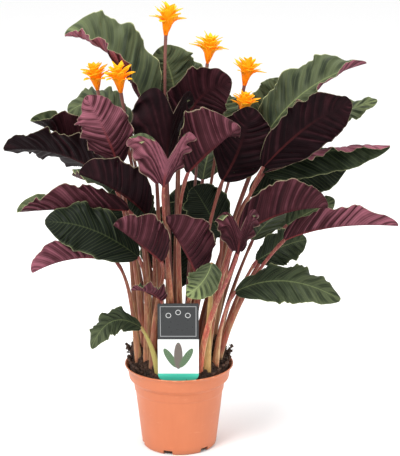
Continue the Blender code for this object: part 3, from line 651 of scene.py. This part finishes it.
class Growth(Graph):  # a Geometry Nodes tree with named inputs
    def __init__(self, name, inputs):
        self.tree = bpy.data.node_groups.new(name, "GeometryNodeTree")
        sockets = self.tree.interface
        for label, kind in {"Geometry": "Geometry", **inputs}.items():
            sockets.new_socket(label, in_out="INPUT", socket_type="NodeSocket" + kind)
        sockets.new_socket("Geometry", in_out="OUTPUT", socket_type="NodeSocketGeometry")
        outputs = self.tree.nodes.new("NodeGroupInput").outputs
        self.given = {socket.name: Wire(self, socket) for socket in outputs}

    def store(self, geometry, name, value):
        values = {"Geometry": geometry, "Name": name, "Value": value}
        return self.add("GeometryNodeStoreNamedAttribute", values, data_type="FLOAT", domain="POINT")

    def finish(self, geometry, skin):
        real = self.add("GeometryNodeRealizeInstances", {"Geometry": geometry})
        painted = self.add("GeometryNodeSetMaterial", {"Geometry": real, "Material": skin})
        end = self.tree.nodes.new("NodeGroupOutput")
        self.feed(end.inputs["Geometry"], painted)
        return self.tree


def grow(name, start, tree, values):
    # runs a tree on a mesh, and keeps the result as a plain mesh
    made = stand(name, start)
    modifier = made.modifiers.new("grow", "NODES")
    modifier.node_group = tree
    keys = {item.name: item.identifier for item in tree.interface.items_tree if item.in_out == "INPUT"}
    for label, value in values.items():
        modifier[keys[label]] = value
    settle(made)
    made.data.shade_smooth()
    return made


def settle(made):
    # applies the modifiers
    graph = bpy.context.evaluated_depsgraph_get()
    mesh = bpy.data.meshes.new_from_object(made.evaluated_get(graph))
    made.modifiers.clear()
    made.data = mesh


scapeForm = {
    "radius": 1.75, "flare": 0.5, "rings": 24, "sides": 10,
    "low": (0.13, 0.035, 0.03), "high": (0.17, 0.055, 0.045), "patches": (0.26, 0.10, 0.07),
}


def scapeTree(skin):
    # a tube along a line of points, a little wider at its far end
    t = Growth("flowerStalkTube", {"Radius": "Float", "Flare": "Float", "Sides": "Int"})
    share = t.add("GeometryNodeSplineParameter")
    line = t.add("GeometryNodeMeshToCurve", {"Mesh": t.given["Geometry"]})
    ring = t.add("GeometryNodeCurvePrimitiveCircle", {"Resolution": t.given["Sides"], "Radius": 1.0})
    tube = t.add("GeometryNodeCurveToMesh", {
        "Curve": t.store(line, "length", share),
        "Profile Curve": ring,
        "Scale": t.given["Radius"] + t.given["Flare"] * share**6.0,
        "Fill Caps": True,
    })
    return t.finish(tube, skin)


def makeScape(number, bloom, tree):
    foot, top = np.array(bloom.foot, float), np.array(bloom.top, float)
    axis = unit(top - foot)
    path = stalkPath(bloom.root, foot + axis * 1.5, axis, 0.5, scapeForm["rings"])
    line = bpy.data.meshes.new("scapeLine")
    edges = [(i, i + 1) for i in range(len(path) - 1)]
    line.from_pydata([tuple(centre * mm) for centre, ahead in path], edges, [])
    made = grow("scapePiece_" + number, line, tree, {
        "Radius": scapeForm["radius"] * mm,
        "Flare": scapeForm["flare"] * mm,
        "Sides": scapeForm["sides"],
    })
    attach(made, "root")
    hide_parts("scape_" + number)


def scapeSkin():
    n = Nodes("flowerStalk")
    (length,) = n.attributes("length")
    cloud = n.noise(60.0, 3.0)
    hairs = n.noise(900.0, 2.0)
    colour = n.coats(
        scapeForm["low"],
        (length.step(0.3, 0.95), scapeForm["high"]),
        (cloud.step(0.45, 0.7) * 0.6, scapeForm["patches"]),
    )
    return n.finish(Base_Color=colour, Roughness=hairs * 0.2 + 0.45, Normal=n.bump(hairs, 0.0004, 0.6))


bloomLook = {
    "bracts": 26, "turn": 2.399963,  # the turn from one bract to the next, in radians
    "lowest": 0.02, "spread": 0.62,  # where the bracts start, as shares of the bloom's height
    "loose": 0.15,  # how far off a bract's turn may be, in radians
    # for the lowest bract, and how much less for the highest: length as a share of the bloom's height, half
    # width in millimetres, bend and lean in radians
    "reach": (0.84, 0.46), "half": (7.0, 3.0), "bend": (1.10, 0.62), "lean": (0.34, 0.14),
    "cup": 0.40, "thick": 0.6, "steps": 9, "across": 7,
    "coreSides": 14, "coreRings": 10, "coreHeight": 0.86,
    "low": (1.0, 0.255, 0.004), "high": (1.0, 0.42, 0.010), "tip": (1.0, 0.50, 0.014),
    "base": (0.90, 0.150, 0.006), "fibres": (1.0, 0.30, 0.004), "glow": 0.16,
}


def bractSkin():
    look = bloomLook
    n = Nodes("bract")
    across, along = n.bladeMap()
    (height,) = n.attributes("rise")
    cloud = n.noise(120.0, 3.0)
    fibres = (across * 34.0 + cloud * 2.0).sine() * 0.5 + 0.5
    colour = n.coats(
        look["low"],
        (height.step(0.0, 0.8), look["high"]),
        (along.step(0.35, 0.95) * 0.8, look["tip"]),
        (along.drop(0.0, 0.30) * (1.0 - height * 0.6) * 0.6, look["base"]),
        (fibres * cloud * 0.25, look["fibres"]),
    )
    return n.finish(
        Base_Color=colour,
        Roughness=cloud * 0.2 + 0.42,
        Specular_IOR_Level=0.15,
        # painted light: the bracts glow with their own colour, as if lit through
        Emission_Color=colour,
        Emission_Strength=look["glow"],
        Normal=n.bump(fibres, 0.0003, 0.5),
    )


def bractMesh(length, half, lean, bend):
    # one bract from the origin up Z, bent towards +X past its middle: pointed, boat shaped and thin
    look = bloomLook
    steps, columns = look["steps"], look["across"]
    outer, inner, maps = [], [], []
    x = z = 0.0
    for i in range(steps):
        t = i / (steps - 1)
        wide = half * (1 - t) ** 0.62 * (0.34 + 1.50 * t) + 0.10
        past = min(1.0, max(0.0, (t - 0.35) / 0.5))
        tilt = lean + bend * past * past * (3 - 2 * past)
        if i:
            x += math.sin(tilt) * length / (steps - 1)
            z += math.cos(tilt) * length / (steps - 1)
        for j in range(columns):
            u = 2 * j / (columns - 1) - 1
            fold = look["cup"] * wide * (u * u) * (1 - 0.5 * t) + 0.25 * math.sin(9 * t + 3 * u) * abs(u)
            for points, away in ((outer, fold - look["thick"] / 2), (inner, fold + look["thick"] / 2)):
                points.append((x - math.cos(tilt) * away, u * wide, z + math.sin(tilt) * away))
            maps.append(((u + 1) / 2, t))
    return np.array(outer + inner), sheetFaces(steps, columns)[0], maps * 2


def bloomTree(skin):
    # sets the bracts round the core, from low and long to high and short, each turned on from the one before
    t = Growth("bloomBracts", {
        "Shapes": "Collection", "Bracts": "Int", "Height": "Float", "Turn": "Float", "First turn": "Float",
        "Seed": "Int",
    })
    order = t.add("GeometryNodeInputIndex")
    share = order / (t.given["Bracts"] - 1.0)
    high = t.given["Height"] * (share * bloomLook["spread"] + bloomLook["lowest"])
    place = t.add("ShaderNodeCombineXYZ", {"Z": high})
    points = t.add("GeometryNodePoints", {"Count": t.given["Bracts"], "Position": place})
    ends = {2: -bloomLook["loose"], 3: bloomLook["loose"], "Seed": t.given["Seed"]}
    loose = t.add("FunctionNodeRandomValue", ends, 1, data_type="FLOAT")
    turn = order * t.given["Turn"] + (t.given["First turn"] + loose)
    shapes = {"Collection": t.given["Shapes"], "Separate Children": True, "Reset Children": True}
    bracts = t.add("GeometryNodeInstanceOnPoints", {
        "Points": t.store(points, "rise", share),
        "Instance": t.add("GeometryNodeCollectionInfo", shapes),
        "Pick Instance": True,
        "Instance Index": order,
        "Rotation": t.add("ShaderNodeCombineXYZ", {"Z": turn}),
    })
    whole = t.add("GeometryNodeJoinGeometry", {"Geometry": [t.given["Geometry"], bracts]})
    return t.finish(whole, skin)


def bloomCore(height):
    # the closed spindle that the bracts stand round
    sides, rings = bloomLook["coreSides"], bloomLook["coreRings"]
    points = []
    for i in range(rings):
        s = i / (rings - 1)
        radius = 1.5 + 3.0 * math.sin(math.pi * s * 0.95) ** 1.2 if s < 1 else 0.8
        points += circle(radius, sides, s * height * bloomLook["coreHeight"])
    core = makeMesh("bloomCore", points, tubeFaces(rings, sides))
    paint(core.data, [(0.5, 0.05)] * len(points), {})
    return core


def makeBloom(number, bloom, tree, seed):
    foot, top = np.array(bloom.foot, float), np.array(bloom.top, float)
    height = float(np.linalg.norm(top - foot))
    rng = random.Random(seed)
    core = bloomCore(height)
    shapes = bpy.data.collections.new("bracts")
    total = bloomLook["bracts"]
    for i in range(total):
        share = i / (total - 1)
        sizes = (bloomLook[name] for name in ("reach", "half", "bend", "lean"))
        reach, half, bend, lean = (low - less * share for low, less in sizes)
        reach = (reach + rng.uniform(-0.06, 0.08)) * height
        half += rng.uniform(-0.5, 0.5)
        bend += rng.uniform(-0.3, 0.25)
        points, faces, maps = bractMesh(reach, half, lean, bend)
        inner = 0.7 + 2.6 * math.sin(math.pi * min(1.0, share * 1.1))
        shape = makeMesh("bract%02d" % i, points + np.array([inner, 0, 0]), faces)
        paint(shape.data, maps, {})
        bpy.context.scene.collection.objects.unlink(shape)
        shapes.objects.link(shape)
    made = grow("bloomPiece_" + number, core.data, tree, {
        "Shapes": shapes,
        "Bracts": total,
        "Height": height * mm,
        "Turn": bloomLook["turn"],
        "First turn": math.radians(bloom.turn),
        "Seed": seed,
    })
    for helper in [core, *shapes.objects]:
        bpy.data.objects.remove(helper)
    bpy.data.collections.remove(shapes)
    every = np.empty(len(made.data.vertices) * 3, np.float32)
    made.data.vertices.foreach_get("co", every)
    every = every.reshape(-1, 3) / mm
    over = every[:, 2].max() - height  # what stands above the bloom's top is pressed down to it
    if over > 0:
        every[:, 2] -= np.maximum(0, every[:, 2] - height * 0.5) * over / (height * 0.5 + over)
    axis = Vector(top - foot).normalized().to_track_quat("Z", "Y").to_matrix()
    every = (every @ np.array(axis).T + foot) * mm
    made.data.vertices.foreach_set("co", every.astype(np.float32).ravel())
    made.data.update()
    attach(made, "root")
    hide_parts("bloom_" + number)


potForm = {
    "sides": 128, "corner": 1.1, "cornerSteps": 4,
    "outside": [  # radius and height, from the middle of the underside up to the rim
        (0.0, 0.0), (40.0, 0.0), (46.0, 0.0), (48.0, 2.0), (56.4, 73.4), (57.6, 75.6), (58.9, 86.0),
        (64.4, 91.6), (66.4, 104.6), (68.3, 107.2), (70.0, 108.6), (70.0, 109.4), (69.3, 110.0),
        (68.4, 109.7),
    ],
    "inside": [  # and down again to the middle of the floor
        (66.6, 107.6), (64.8, 105.0), (62.8, 92.2), (57.4, 86.6), (56.0, 76.0), (54.9, 74.2), (48.0, 12.0),
        (45.5, 2.0), (0.0, 2.0),
    ],
    "drains": 6, "drainTurn": -107.0, "drainSize": (13, 12, 9), "drainReach": 43.5, "drainHeight": 1.5,
    "sharp": 50,  # degrees
    "clay": (0.505, 0.140, 0.053), "brightClay": (0.560, 0.163, 0.064), "streak": (0.67, 0.23, 0.105),
    "scuff": (0.72, 0.31, 0.17), "wornRim": (0.74, 0.36, 0.22), "dirt": (0.24, 0.10, 0.05),
    "stain": (0.20, 0.09, 0.05),
}


def roundedProfile(points, radius, steps):
    # rounds the corners of an open (radius, height) line
    done = [points[0]]
    for before, here, after in zip(points, points[1:], points[2:]):
        a, p, b = (np.array(v, float) for v in (before, here, after))
        one, two = a - p, b - p
        cut = min(radius, 0.45 * np.linalg.norm(one), 0.45 * np.linalg.norm(two))
        start, end = p + unit(one) * cut, p + unit(two) * cut
        for i in range(steps + 1):
            t = i / steps
            done.append(tuple((1 - t) ** 2 * start + 2 * t * (1 - t) * p + t * t * end))
    return done + [points[-1]]


def potSkin():
    look = potForm
    n = Nodes("potPlastic")
    x, y, z = n.parts(n.place)
    cloud = n.noise(14.0, 3.0)
    grain = n.noise(700.0, 2.0)
    streaks = n.noise(190.0, 4.0, stretch=(1.0, 1.0, 0.12))
    scuffs = n.noise(60.0, 5.0, stretch=(1.0, 1.0, 6.0)).step(0.63, 0.72)
    worn = z.step(0.1075, 0.1095) * streaks.step(0.45, 0.62)
    dirt = z.drop(0.0, 0.012) * cloud.step(0.35, 0.65)
    inside = z.step(0.096, 0.104) * ((x * x + y * y) ** 0.5).drop(0.066, 0.0685)
    colour = n.coats(
        look["clay"],
        (cloud.step(0.3, 0.7), look["brightClay"]),
        (streaks * 0.22, look["streak"]),
        (scuffs * 0.18, look["scuff"]),
        (worn * 0.45, look["wornRim"]),
        (dirt * 0.35, look["dirt"]),
        (inside * cloud.step(0.4, 0.6) * 0.3, look["stain"]),
    )
    relief = n.bump(grain * 0.6 + streaks, 0.0003, 0.35)
    return n.finish(Base_Color=colour, Roughness=streaks * 0.16 + 0.36, Normal=relief)


def makePot():
    form, sides, reach = potForm, potForm["sides"], potForm["drainReach"]
    profile = roundedProfile(form["outside"] + form["inside"], form["corner"], form["cornerSteps"])
    rings = [circle(radius, sides if radius else 1, height) for radius, height in profile]
    pot = ringMesh("potPiece", rings, [potSkin()])
    cutters = []
    for i in range(form["drains"]):
        turn = math.radians(form["drainTurn"]) + fullTurn * i / form["drains"]
        place = Vector((reach * math.cos(turn), reach * math.sin(turn), form["drainHeight"]))
        bpy.ops.mesh.primitive_cube_add(size=1)
        box = bpy.context.object
        box.data.transform(Matrix.Diagonal((*(width * mm for width in form["drainSize"]), 1.0)))
        box.data.transform(Matrix.Translation(place * mm) @ Matrix.Rotation(turn, 4, "Z"))
        pot.modifiers.new("drain", "BOOLEAN").object = box
        cutters.append(box)
    settle(pot)
    for box in cutters:
        bpy.data.objects.remove(box)
    pot.data.shade_smooth()
    pot.data.set_sharp_from_angle(angle=math.radians(form["sharp"]))
    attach(pot, "root")
    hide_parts("pot")


soilForm = {
    "sides": 120, "rings": 44, "gap": 1.0, "rimGap": 0.9,
    "levels": (2.4, 74.0, 76.0, 86.0, 92.0, 98.0), "rimLevel": 101.0,
    "rough": ((2.2, 0.12), (1.8, 0.35), (0.9, 0.9)),  # height and frequency
    "heapEdge": 66.0,
    "heaps": (  # x, y, spread, height
        (-55, 0, 17, 48), (-45, -30, 16, 20), (-28, -48, 14, 10), (-36, 38, 20, 12),
        (55, 0, 17, 43), (47, -30, 16, 19), (30, -47, 14, 11), (34, 38, 20, 12),
    ),
    "dark": (0.020, 0.0110, 0.0080), "brown": (0.115, 0.058, 0.036), "pale": (0.30, 0.155, 0.088),
}
potInner = (  # heights, and the pot's inner radius there
    (2.0, 74.0, 76.0, 86.0, 92.0, 105.0, 107.5, 109.0),
    (46.4, 54.9, 56.0, 57.4, 62.9, 64.9, 66.8, 68.4),
)


def peat():
    n = Nodes("peat")
    clod = n.noise(90.0, 5.0, 0.65)
    fine = n.noise(600.0, 4.0, 0.7)
    colour = n.coats(
        soilForm["dark"],
        (clod.step(0.3, 0.75), soilForm["brown"]),
        (fine.step(0.58, 0.72) * 0.6, soilForm["pale"]),
    )
    return n.finish(Base_Color=colour, Roughness=0.93, Normal=n.bump(fine + clod, 0.002, 0.8))


def potInside(z):
    return float(np.interp(z, *potInner))


def heapOf(x, y):
    # loose peat piled on the soil at the left and at the right, over the rim, and falling off at the edge
    edge = max(0.0, 1.0 - (math.hypot(x, y) / soilForm["heapEdge"]) ** 12)
    return edge * sum(
        high * math.exp(-((x - a) ** 2 + (y - b) ** 2) / wide**2) for a, b, wide, high in soilForm["heaps"])


def soilPoint(x, y):
    place = Vector((x, y, 0.0))
    rough = sum(high * noise.noise(place * often) for high, often in soilForm["rough"])
    return x, y, soilHeight(x, y) + heapOf(x, y) + rough


def makeSoil(skin):
    sides, steps = soilForm["sides"], soilForm["rings"]
    rings = [circle(0.0, 1, soilForm["levels"][0])]
    rings += [circle(potInside(z) - soilForm["gap"], sides, z) for z in soilForm["levels"]]
    rim = potInside(soilForm["rimLevel"]) - soilForm["rimGap"]
    for i in range(steps, 0, -1):
        rings.append([soilPoint(x, y) for x, y, z in circle(rim * i / steps, sides, 0.0)])
    rings.append(circle(0.0, 1, soilHeight(0, 0)))
    soil = ringMesh("soilPiece", rings, [skin])
    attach(soil, "root")
    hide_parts("soil")


crumbForm = {
    "radius": 1.9, "flat": 0.75, "uneven": (0.65, 1.25),
    "fibreLength": 13, "fibreBend": (3.0, 2.2), "fibreRadius": 0.33, "fibreEnd": 0.06, "fibreSteps": 6,
    "bedRadius": 61.5, "innerRadius": 56.0, "spill": 7.0, "spillRise": 1.4, "lift": 0.8,
    "bedSides": 72, "bedRings": 20,
}


def crumbTree(skin):
    # scatters a small shape over the faces of a mesh, each turned and sized at random
    t = Growth("scatterCrumbs", {
        "Shape": "Object", "Density": "Float", "Smallest": "Float", "Largest": "Float", "Seed": "Int",
    })
    seed = t.given["Seed"]
    spread = {"Mesh": t.given["Geometry"], "Density": t.given["Density"], "Seed": seed}
    turns = {1: (6.28, 6.28, 6.28), "Seed": seed}
    sizes = {2: t.given["Smallest"], 3: t.given["Largest"], "Seed": seed}
    crumbs = t.add("GeometryNodeInstanceOnPoints", {
        "Points": t.add("GeometryNodeDistributePointsOnFaces", spread),
        "Instance": t.add("GeometryNodeObjectInfo", {"Object": t.given["Shape"]}, "Geometry"),
        "Rotation": t.add("FunctionNodeRandomValue", turns, data_type="FLOAT_VECTOR"),
        "Scale": t.add("FunctionNodeRandomValue", sizes, 1, data_type="FLOAT"),
    })
    return t.finish(crumbs, skin)


def scatterOn(name, bed, shape, tree, density, sizes, seed):
    values = {"Shape": shape, "Density": density, "Smallest": sizes[0], "Largest": sizes[1], "Seed": seed}
    made = grow(name, bed.data, tree, values)
    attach(made, "root")


def soilBed(limit, over):
    # a sheet a little above the soil, drawn over the rim at the left and the right, that crumbs lie on
    sides, steps = crumbForm["bedSides"], crumbForm["bedRings"]
    rings = []
    for i in range(steps):
        flat = circle(limit * min(i / (steps - 1), 1.0), sides, 0.0)
        rings.append([(x, y, soilHeight(x, y) + heapOf(x, y) + crumbForm["lift"]) for x, y, z in flat])
    ring = []
    for j, (x, y, z) in enumerate(rings[-1]):
        turn = fullTurn * j / sides
        spill = over * max(0.0, abs(math.cos(turn)) - 0.6) / 0.4
        radius = limit + spill
        ring.append((radius * math.cos(turn), radius * math.sin(turn), z + crumbForm["spillRise"] * spill))
    return ringMesh("crumbBed", rings + [ring])


def crumbShape(seed):
    bpy.ops.mesh.primitive_ico_sphere_add(subdivisions=1, radius=crumbForm["radius"] * mm)
    crumb = bpy.context.object
    rng = random.Random(seed)
    for vertex in crumb.data.vertices:
        vertex.co *= rng.uniform(*crumbForm["uneven"])
        vertex.co.z *= crumbForm["flat"]
    return crumb


def fibreShape(seed):
    # a bent sliver of coir
    rng = random.Random(seed)
    steps, (bend, arch) = crumbForm["fibreSteps"], crumbForm["fibreBend"]
    points = []
    for i in range(steps):
        t = i / (steps - 1) - 0.5
        high = arch * math.cos(5 * t) + rng.uniform(-0.3, 0.3)
        centre = Vector((crumbForm["fibreLength"] * t, bend * math.sin(4 * t), high))
        radius = crumbForm["fibreRadius"] * (1 - (2 * t) ** 4) + crumbForm["fibreEnd"]
        points += [centre + radius * Vector((0, math.cos(a), math.sin(a))) for a in (4.19, 2.09, 0)]
    return makeMesh("fibre", points, tubeFaces(steps, 3))


labelForm = {
    "y": -58.5, "footZ": 106.0, "width": 51.0, "height": 104.0, "thick": 0.8, "lean": 4.0,
    "corner": 9.0, "cornerSteps": 8, "stake": 12.0, "stakeDepth": 15.0,
    "white": (0.80, 0.81, 0.80), "charcoal": (0.022, 0.024, 0.025), "teal": (0.06, 0.52, 0.38),
    "rule": (0.55, 0.56, 0.56), "ring": (0.62, 0.63, 0.62),
    "rings": ((-12.0, 88.0), (0.0, 92.0), (12.0, 88.0)),
    "stripe": (0.05, 0.09, 0.05), "green": (0.16, 0.26, 0.12), "pink": (0.30, 0.12, 0.17),
    "leaves": (  # middle across and up, turn in radians, half length, colour
        (-10.0, 31.0, 0.55, 15.0, "green"),
        (0.0, 34.0, 0.0, 18.0, "pink"),
        (10.0, 31.0, -0.55, 15.0, "green"),
    ),
}


def labelSkin():
    look = labelForm
    n = Nodes("labelPrint")
    x, _, z = n.parts(n.place)
    u, v = x * 1000.0, z * 1000.0 - look["footZ"]  # millimetres from the middle of the card's foot
    colour = n.coats(look["white"], (v.step(55.8, 56.2), look["charcoal"]), (v.drop(9.8, 10.2), look["teal"]))
    frameU, frameV = abs(u), abs(v - 80.0)
    within = frameV.drop(19.9, 20.2)
    upright = frameU.step(21.6, 21.9) * frameU.drop(22.3, 22.6) * within
    level = frameV.step(19.2, 19.5) * within * frameU.drop(22.3, 22.6)
    colour = n.mix(upright.most(level) * 0.6, colour, look["rule"])
    for cx, cy, turn, size, tint in look["leaves"]:
        a = (u - cx) * math.cos(turn) + (v - cy) * math.sin(turn)
        b = (v - cy) * math.cos(turn) - (u - cx) * math.sin(turn)
        spread = (a / (size * 0.30)) ** 2.0 + (b / size) ** 2.0
        stripes = (b * 1.9 + abs(a) * -1.6).sine().step(-0.2, 0.3)
        colour = n.mix(spread.drop(0.92, 1.06), colour, n.mix(stripes * 0.6, look["stripe"], look[tint]))
    for cx, cy in look["rings"]:
        away = ((u - cx) ** 2.0 + (v - cy) ** 2.0) ** 0.5
        colour = n.mix(away.step(2.4, 2.8) * away.drop(3.2, 3.6) * 0.8, colour, look["ring"])
    grain = n.noise(300.0, 2.0)
    return n.finish(
        Base_Color=colour,
        Roughness=grain * 0.1 + 0.24,
        Coat_Weight=0.1,
        Specular_IOR_Level=0.3,
        Normal=n.bump(grain, 0.0001, 0.2),
    )


def makeLabel():
    form = labelForm
    half, stake, height, corner = form["width"] / 2, form["stake"] / 2, form["height"], form["corner"]
    outline = [(-half + 1.5, height), (-half + 0.4, height - 0.4), (-half, height - 1.5), (-half, 14.0)]
    for i in range(form["cornerSteps"] + 1):  # rounded lower corner
        a = math.pi / 2 * i / form["cornerSteps"]
        outline.append((-half + corner - corner * math.cos(a), corner - corner * math.sin(a)))
    outline += [(-stake - 2.5, 0.0), (-stake - 0.6, -0.8), (-stake, -3.0), (-stake, -form["stakeDepth"] + 4)]
    outline.append((0.0, -form["stakeDepth"]))
    outline += [(-a, b) for a, b in outline[-2::-1]]
    mesh = bmesh.new()
    front = form["y"] - form["thick"] / 2
    card = mesh.faces.new([mesh.verts.new(Vector((a, front, form["footZ"] + b)) * mm) for a, b in outline])
    made = bmesh.ops.extrude_face_region(mesh, geom=[card])["geom"]
    moved = [v for v in made if isinstance(v, bmesh.types.BMVert)]
    bmesh.ops.translate(mesh, verts=moved, vec=(0, form["thick"] * mm, 0))
    bmesh.ops.recalc_face_normals(mesh, faces=mesh.faces)
    foot = Vector((0, form["y"], form["footZ"])) * mm
    lean = Matrix.Rotation(math.radians(form["lean"]), 3, "X")
    bmesh.ops.rotate(mesh, verts=mesh.verts, cent=foot, matrix=lean)
    data = bpy.data.meshes.new("labelPiece")
    mesh.to_mesh(data)
    mesh.free()
    data.materials.append(labelSkin())
    label = stand("labelPiece", data)
    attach(label, "root")
    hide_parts("plant_label")


scapes, heads = scapeTree(scapeSkin()), bloomTree(bractSkin())
for index, (number, bloom) in enumerate(blooms.items()):
    makeScape(number, bloom, scapes)
    makeBloom(number, bloom, heads, 90 + index)
print("blooms:", len(blooms))
makePot()
peatSkin = peat()
makeSoil(peatSkin)
bed, inner = soilBed(crumbForm["bedRadius"], crumbForm["spill"]), soilBed(crumbForm["innerRadius"], 0.0)
crumb, fibre, scatter = crumbShape(3), fibreShape(5), crumbTree(peatSkin)
scatterOn("soilCrumbs", bed, crumb, scatter, 120000.0, (0.4, 1.7), 11)
scatterOn("soilClods", inner, crumb, scatter, 16000.0, (1.6, 3.0), 13)
scatterOn("soilFibres", bed, fibre, scatter, 16000.0, (0.5, 1.2), 12)
for helper in (bed, inner, crumb, fibre):
    bpy.data.objects.remove(helper)
print("pot and soil")
makeLabel()
print("label")

studio = {
    "lamps": (  # name, place, size, watts
        ("keyLight", (-1.2, -1.6, 2.2), 1.1, 52.0),
        ("fillLight", (1.9, -1.5, 1.2), 1.8, 10.0),
        ("topLight", (0.1, 0.5, 2.4), 1.4, 26.0),
    ),
    "aim": (0, 0, 0.28),
    "camera": (0.027, -1.8, 0.764), "pitch": -14.8,
    "sensor": 36.0, "lens": 1478 / 456 * 36,  # the photo's focal length and height are 1478 and 456 pixels
    "floor": (0.95, 0.95, 0.95), "floorSize": 12, "world": 1.0,
}


def makeStudio():
    bpy.ops.mesh.primitive_plane_add(size=studio["floorSize"])
    floor = bpy.context.object
    floor.name = "paleFloor"
    floor.data.materials.append(Nodes("paleFloor").finish(Base_Color=studio["floor"], Roughness=0.9))
    world = bpy.data.worlds.new("studio")
    bpy.context.scene.world = world
    world.use_nodes = True
    sky = world.node_tree.nodes["Background"]
    sky.inputs["Color"].default_value = (1.0, 1.0, 1.0, 1.0)
    sky.inputs["Strength"].default_value = studio["world"]
    for name, place, size, power in studio["lamps"]:
        lamp = bpy.data.lights.new(name, "AREA")
        lamp.size, lamp.energy = size, power
        made = stand(name, lamp)
        made.location = place
        made.rotation_euler = (Vector(studio["aim"]) - Vector(place)).to_track_quat("-Z", "Y").to_euler()
    eye = bpy.data.cameras.new("photoCamera")
    eye.sensor_width, eye.lens = studio["sensor"], studio["lens"]
    eye.sensor_fit = "AUTO"
    view = stand("photoCamera", eye)
    view.location = studio["camera"]
    view.rotation_euler = (math.radians(90 + studio["pitch"]), 0, 0)
    bpy.context.scene.camera = view
    bpy.context.scene.view_settings.view_transform = "Standard"  # plain colours, as the photograph has


makeStudio()
print("studio")
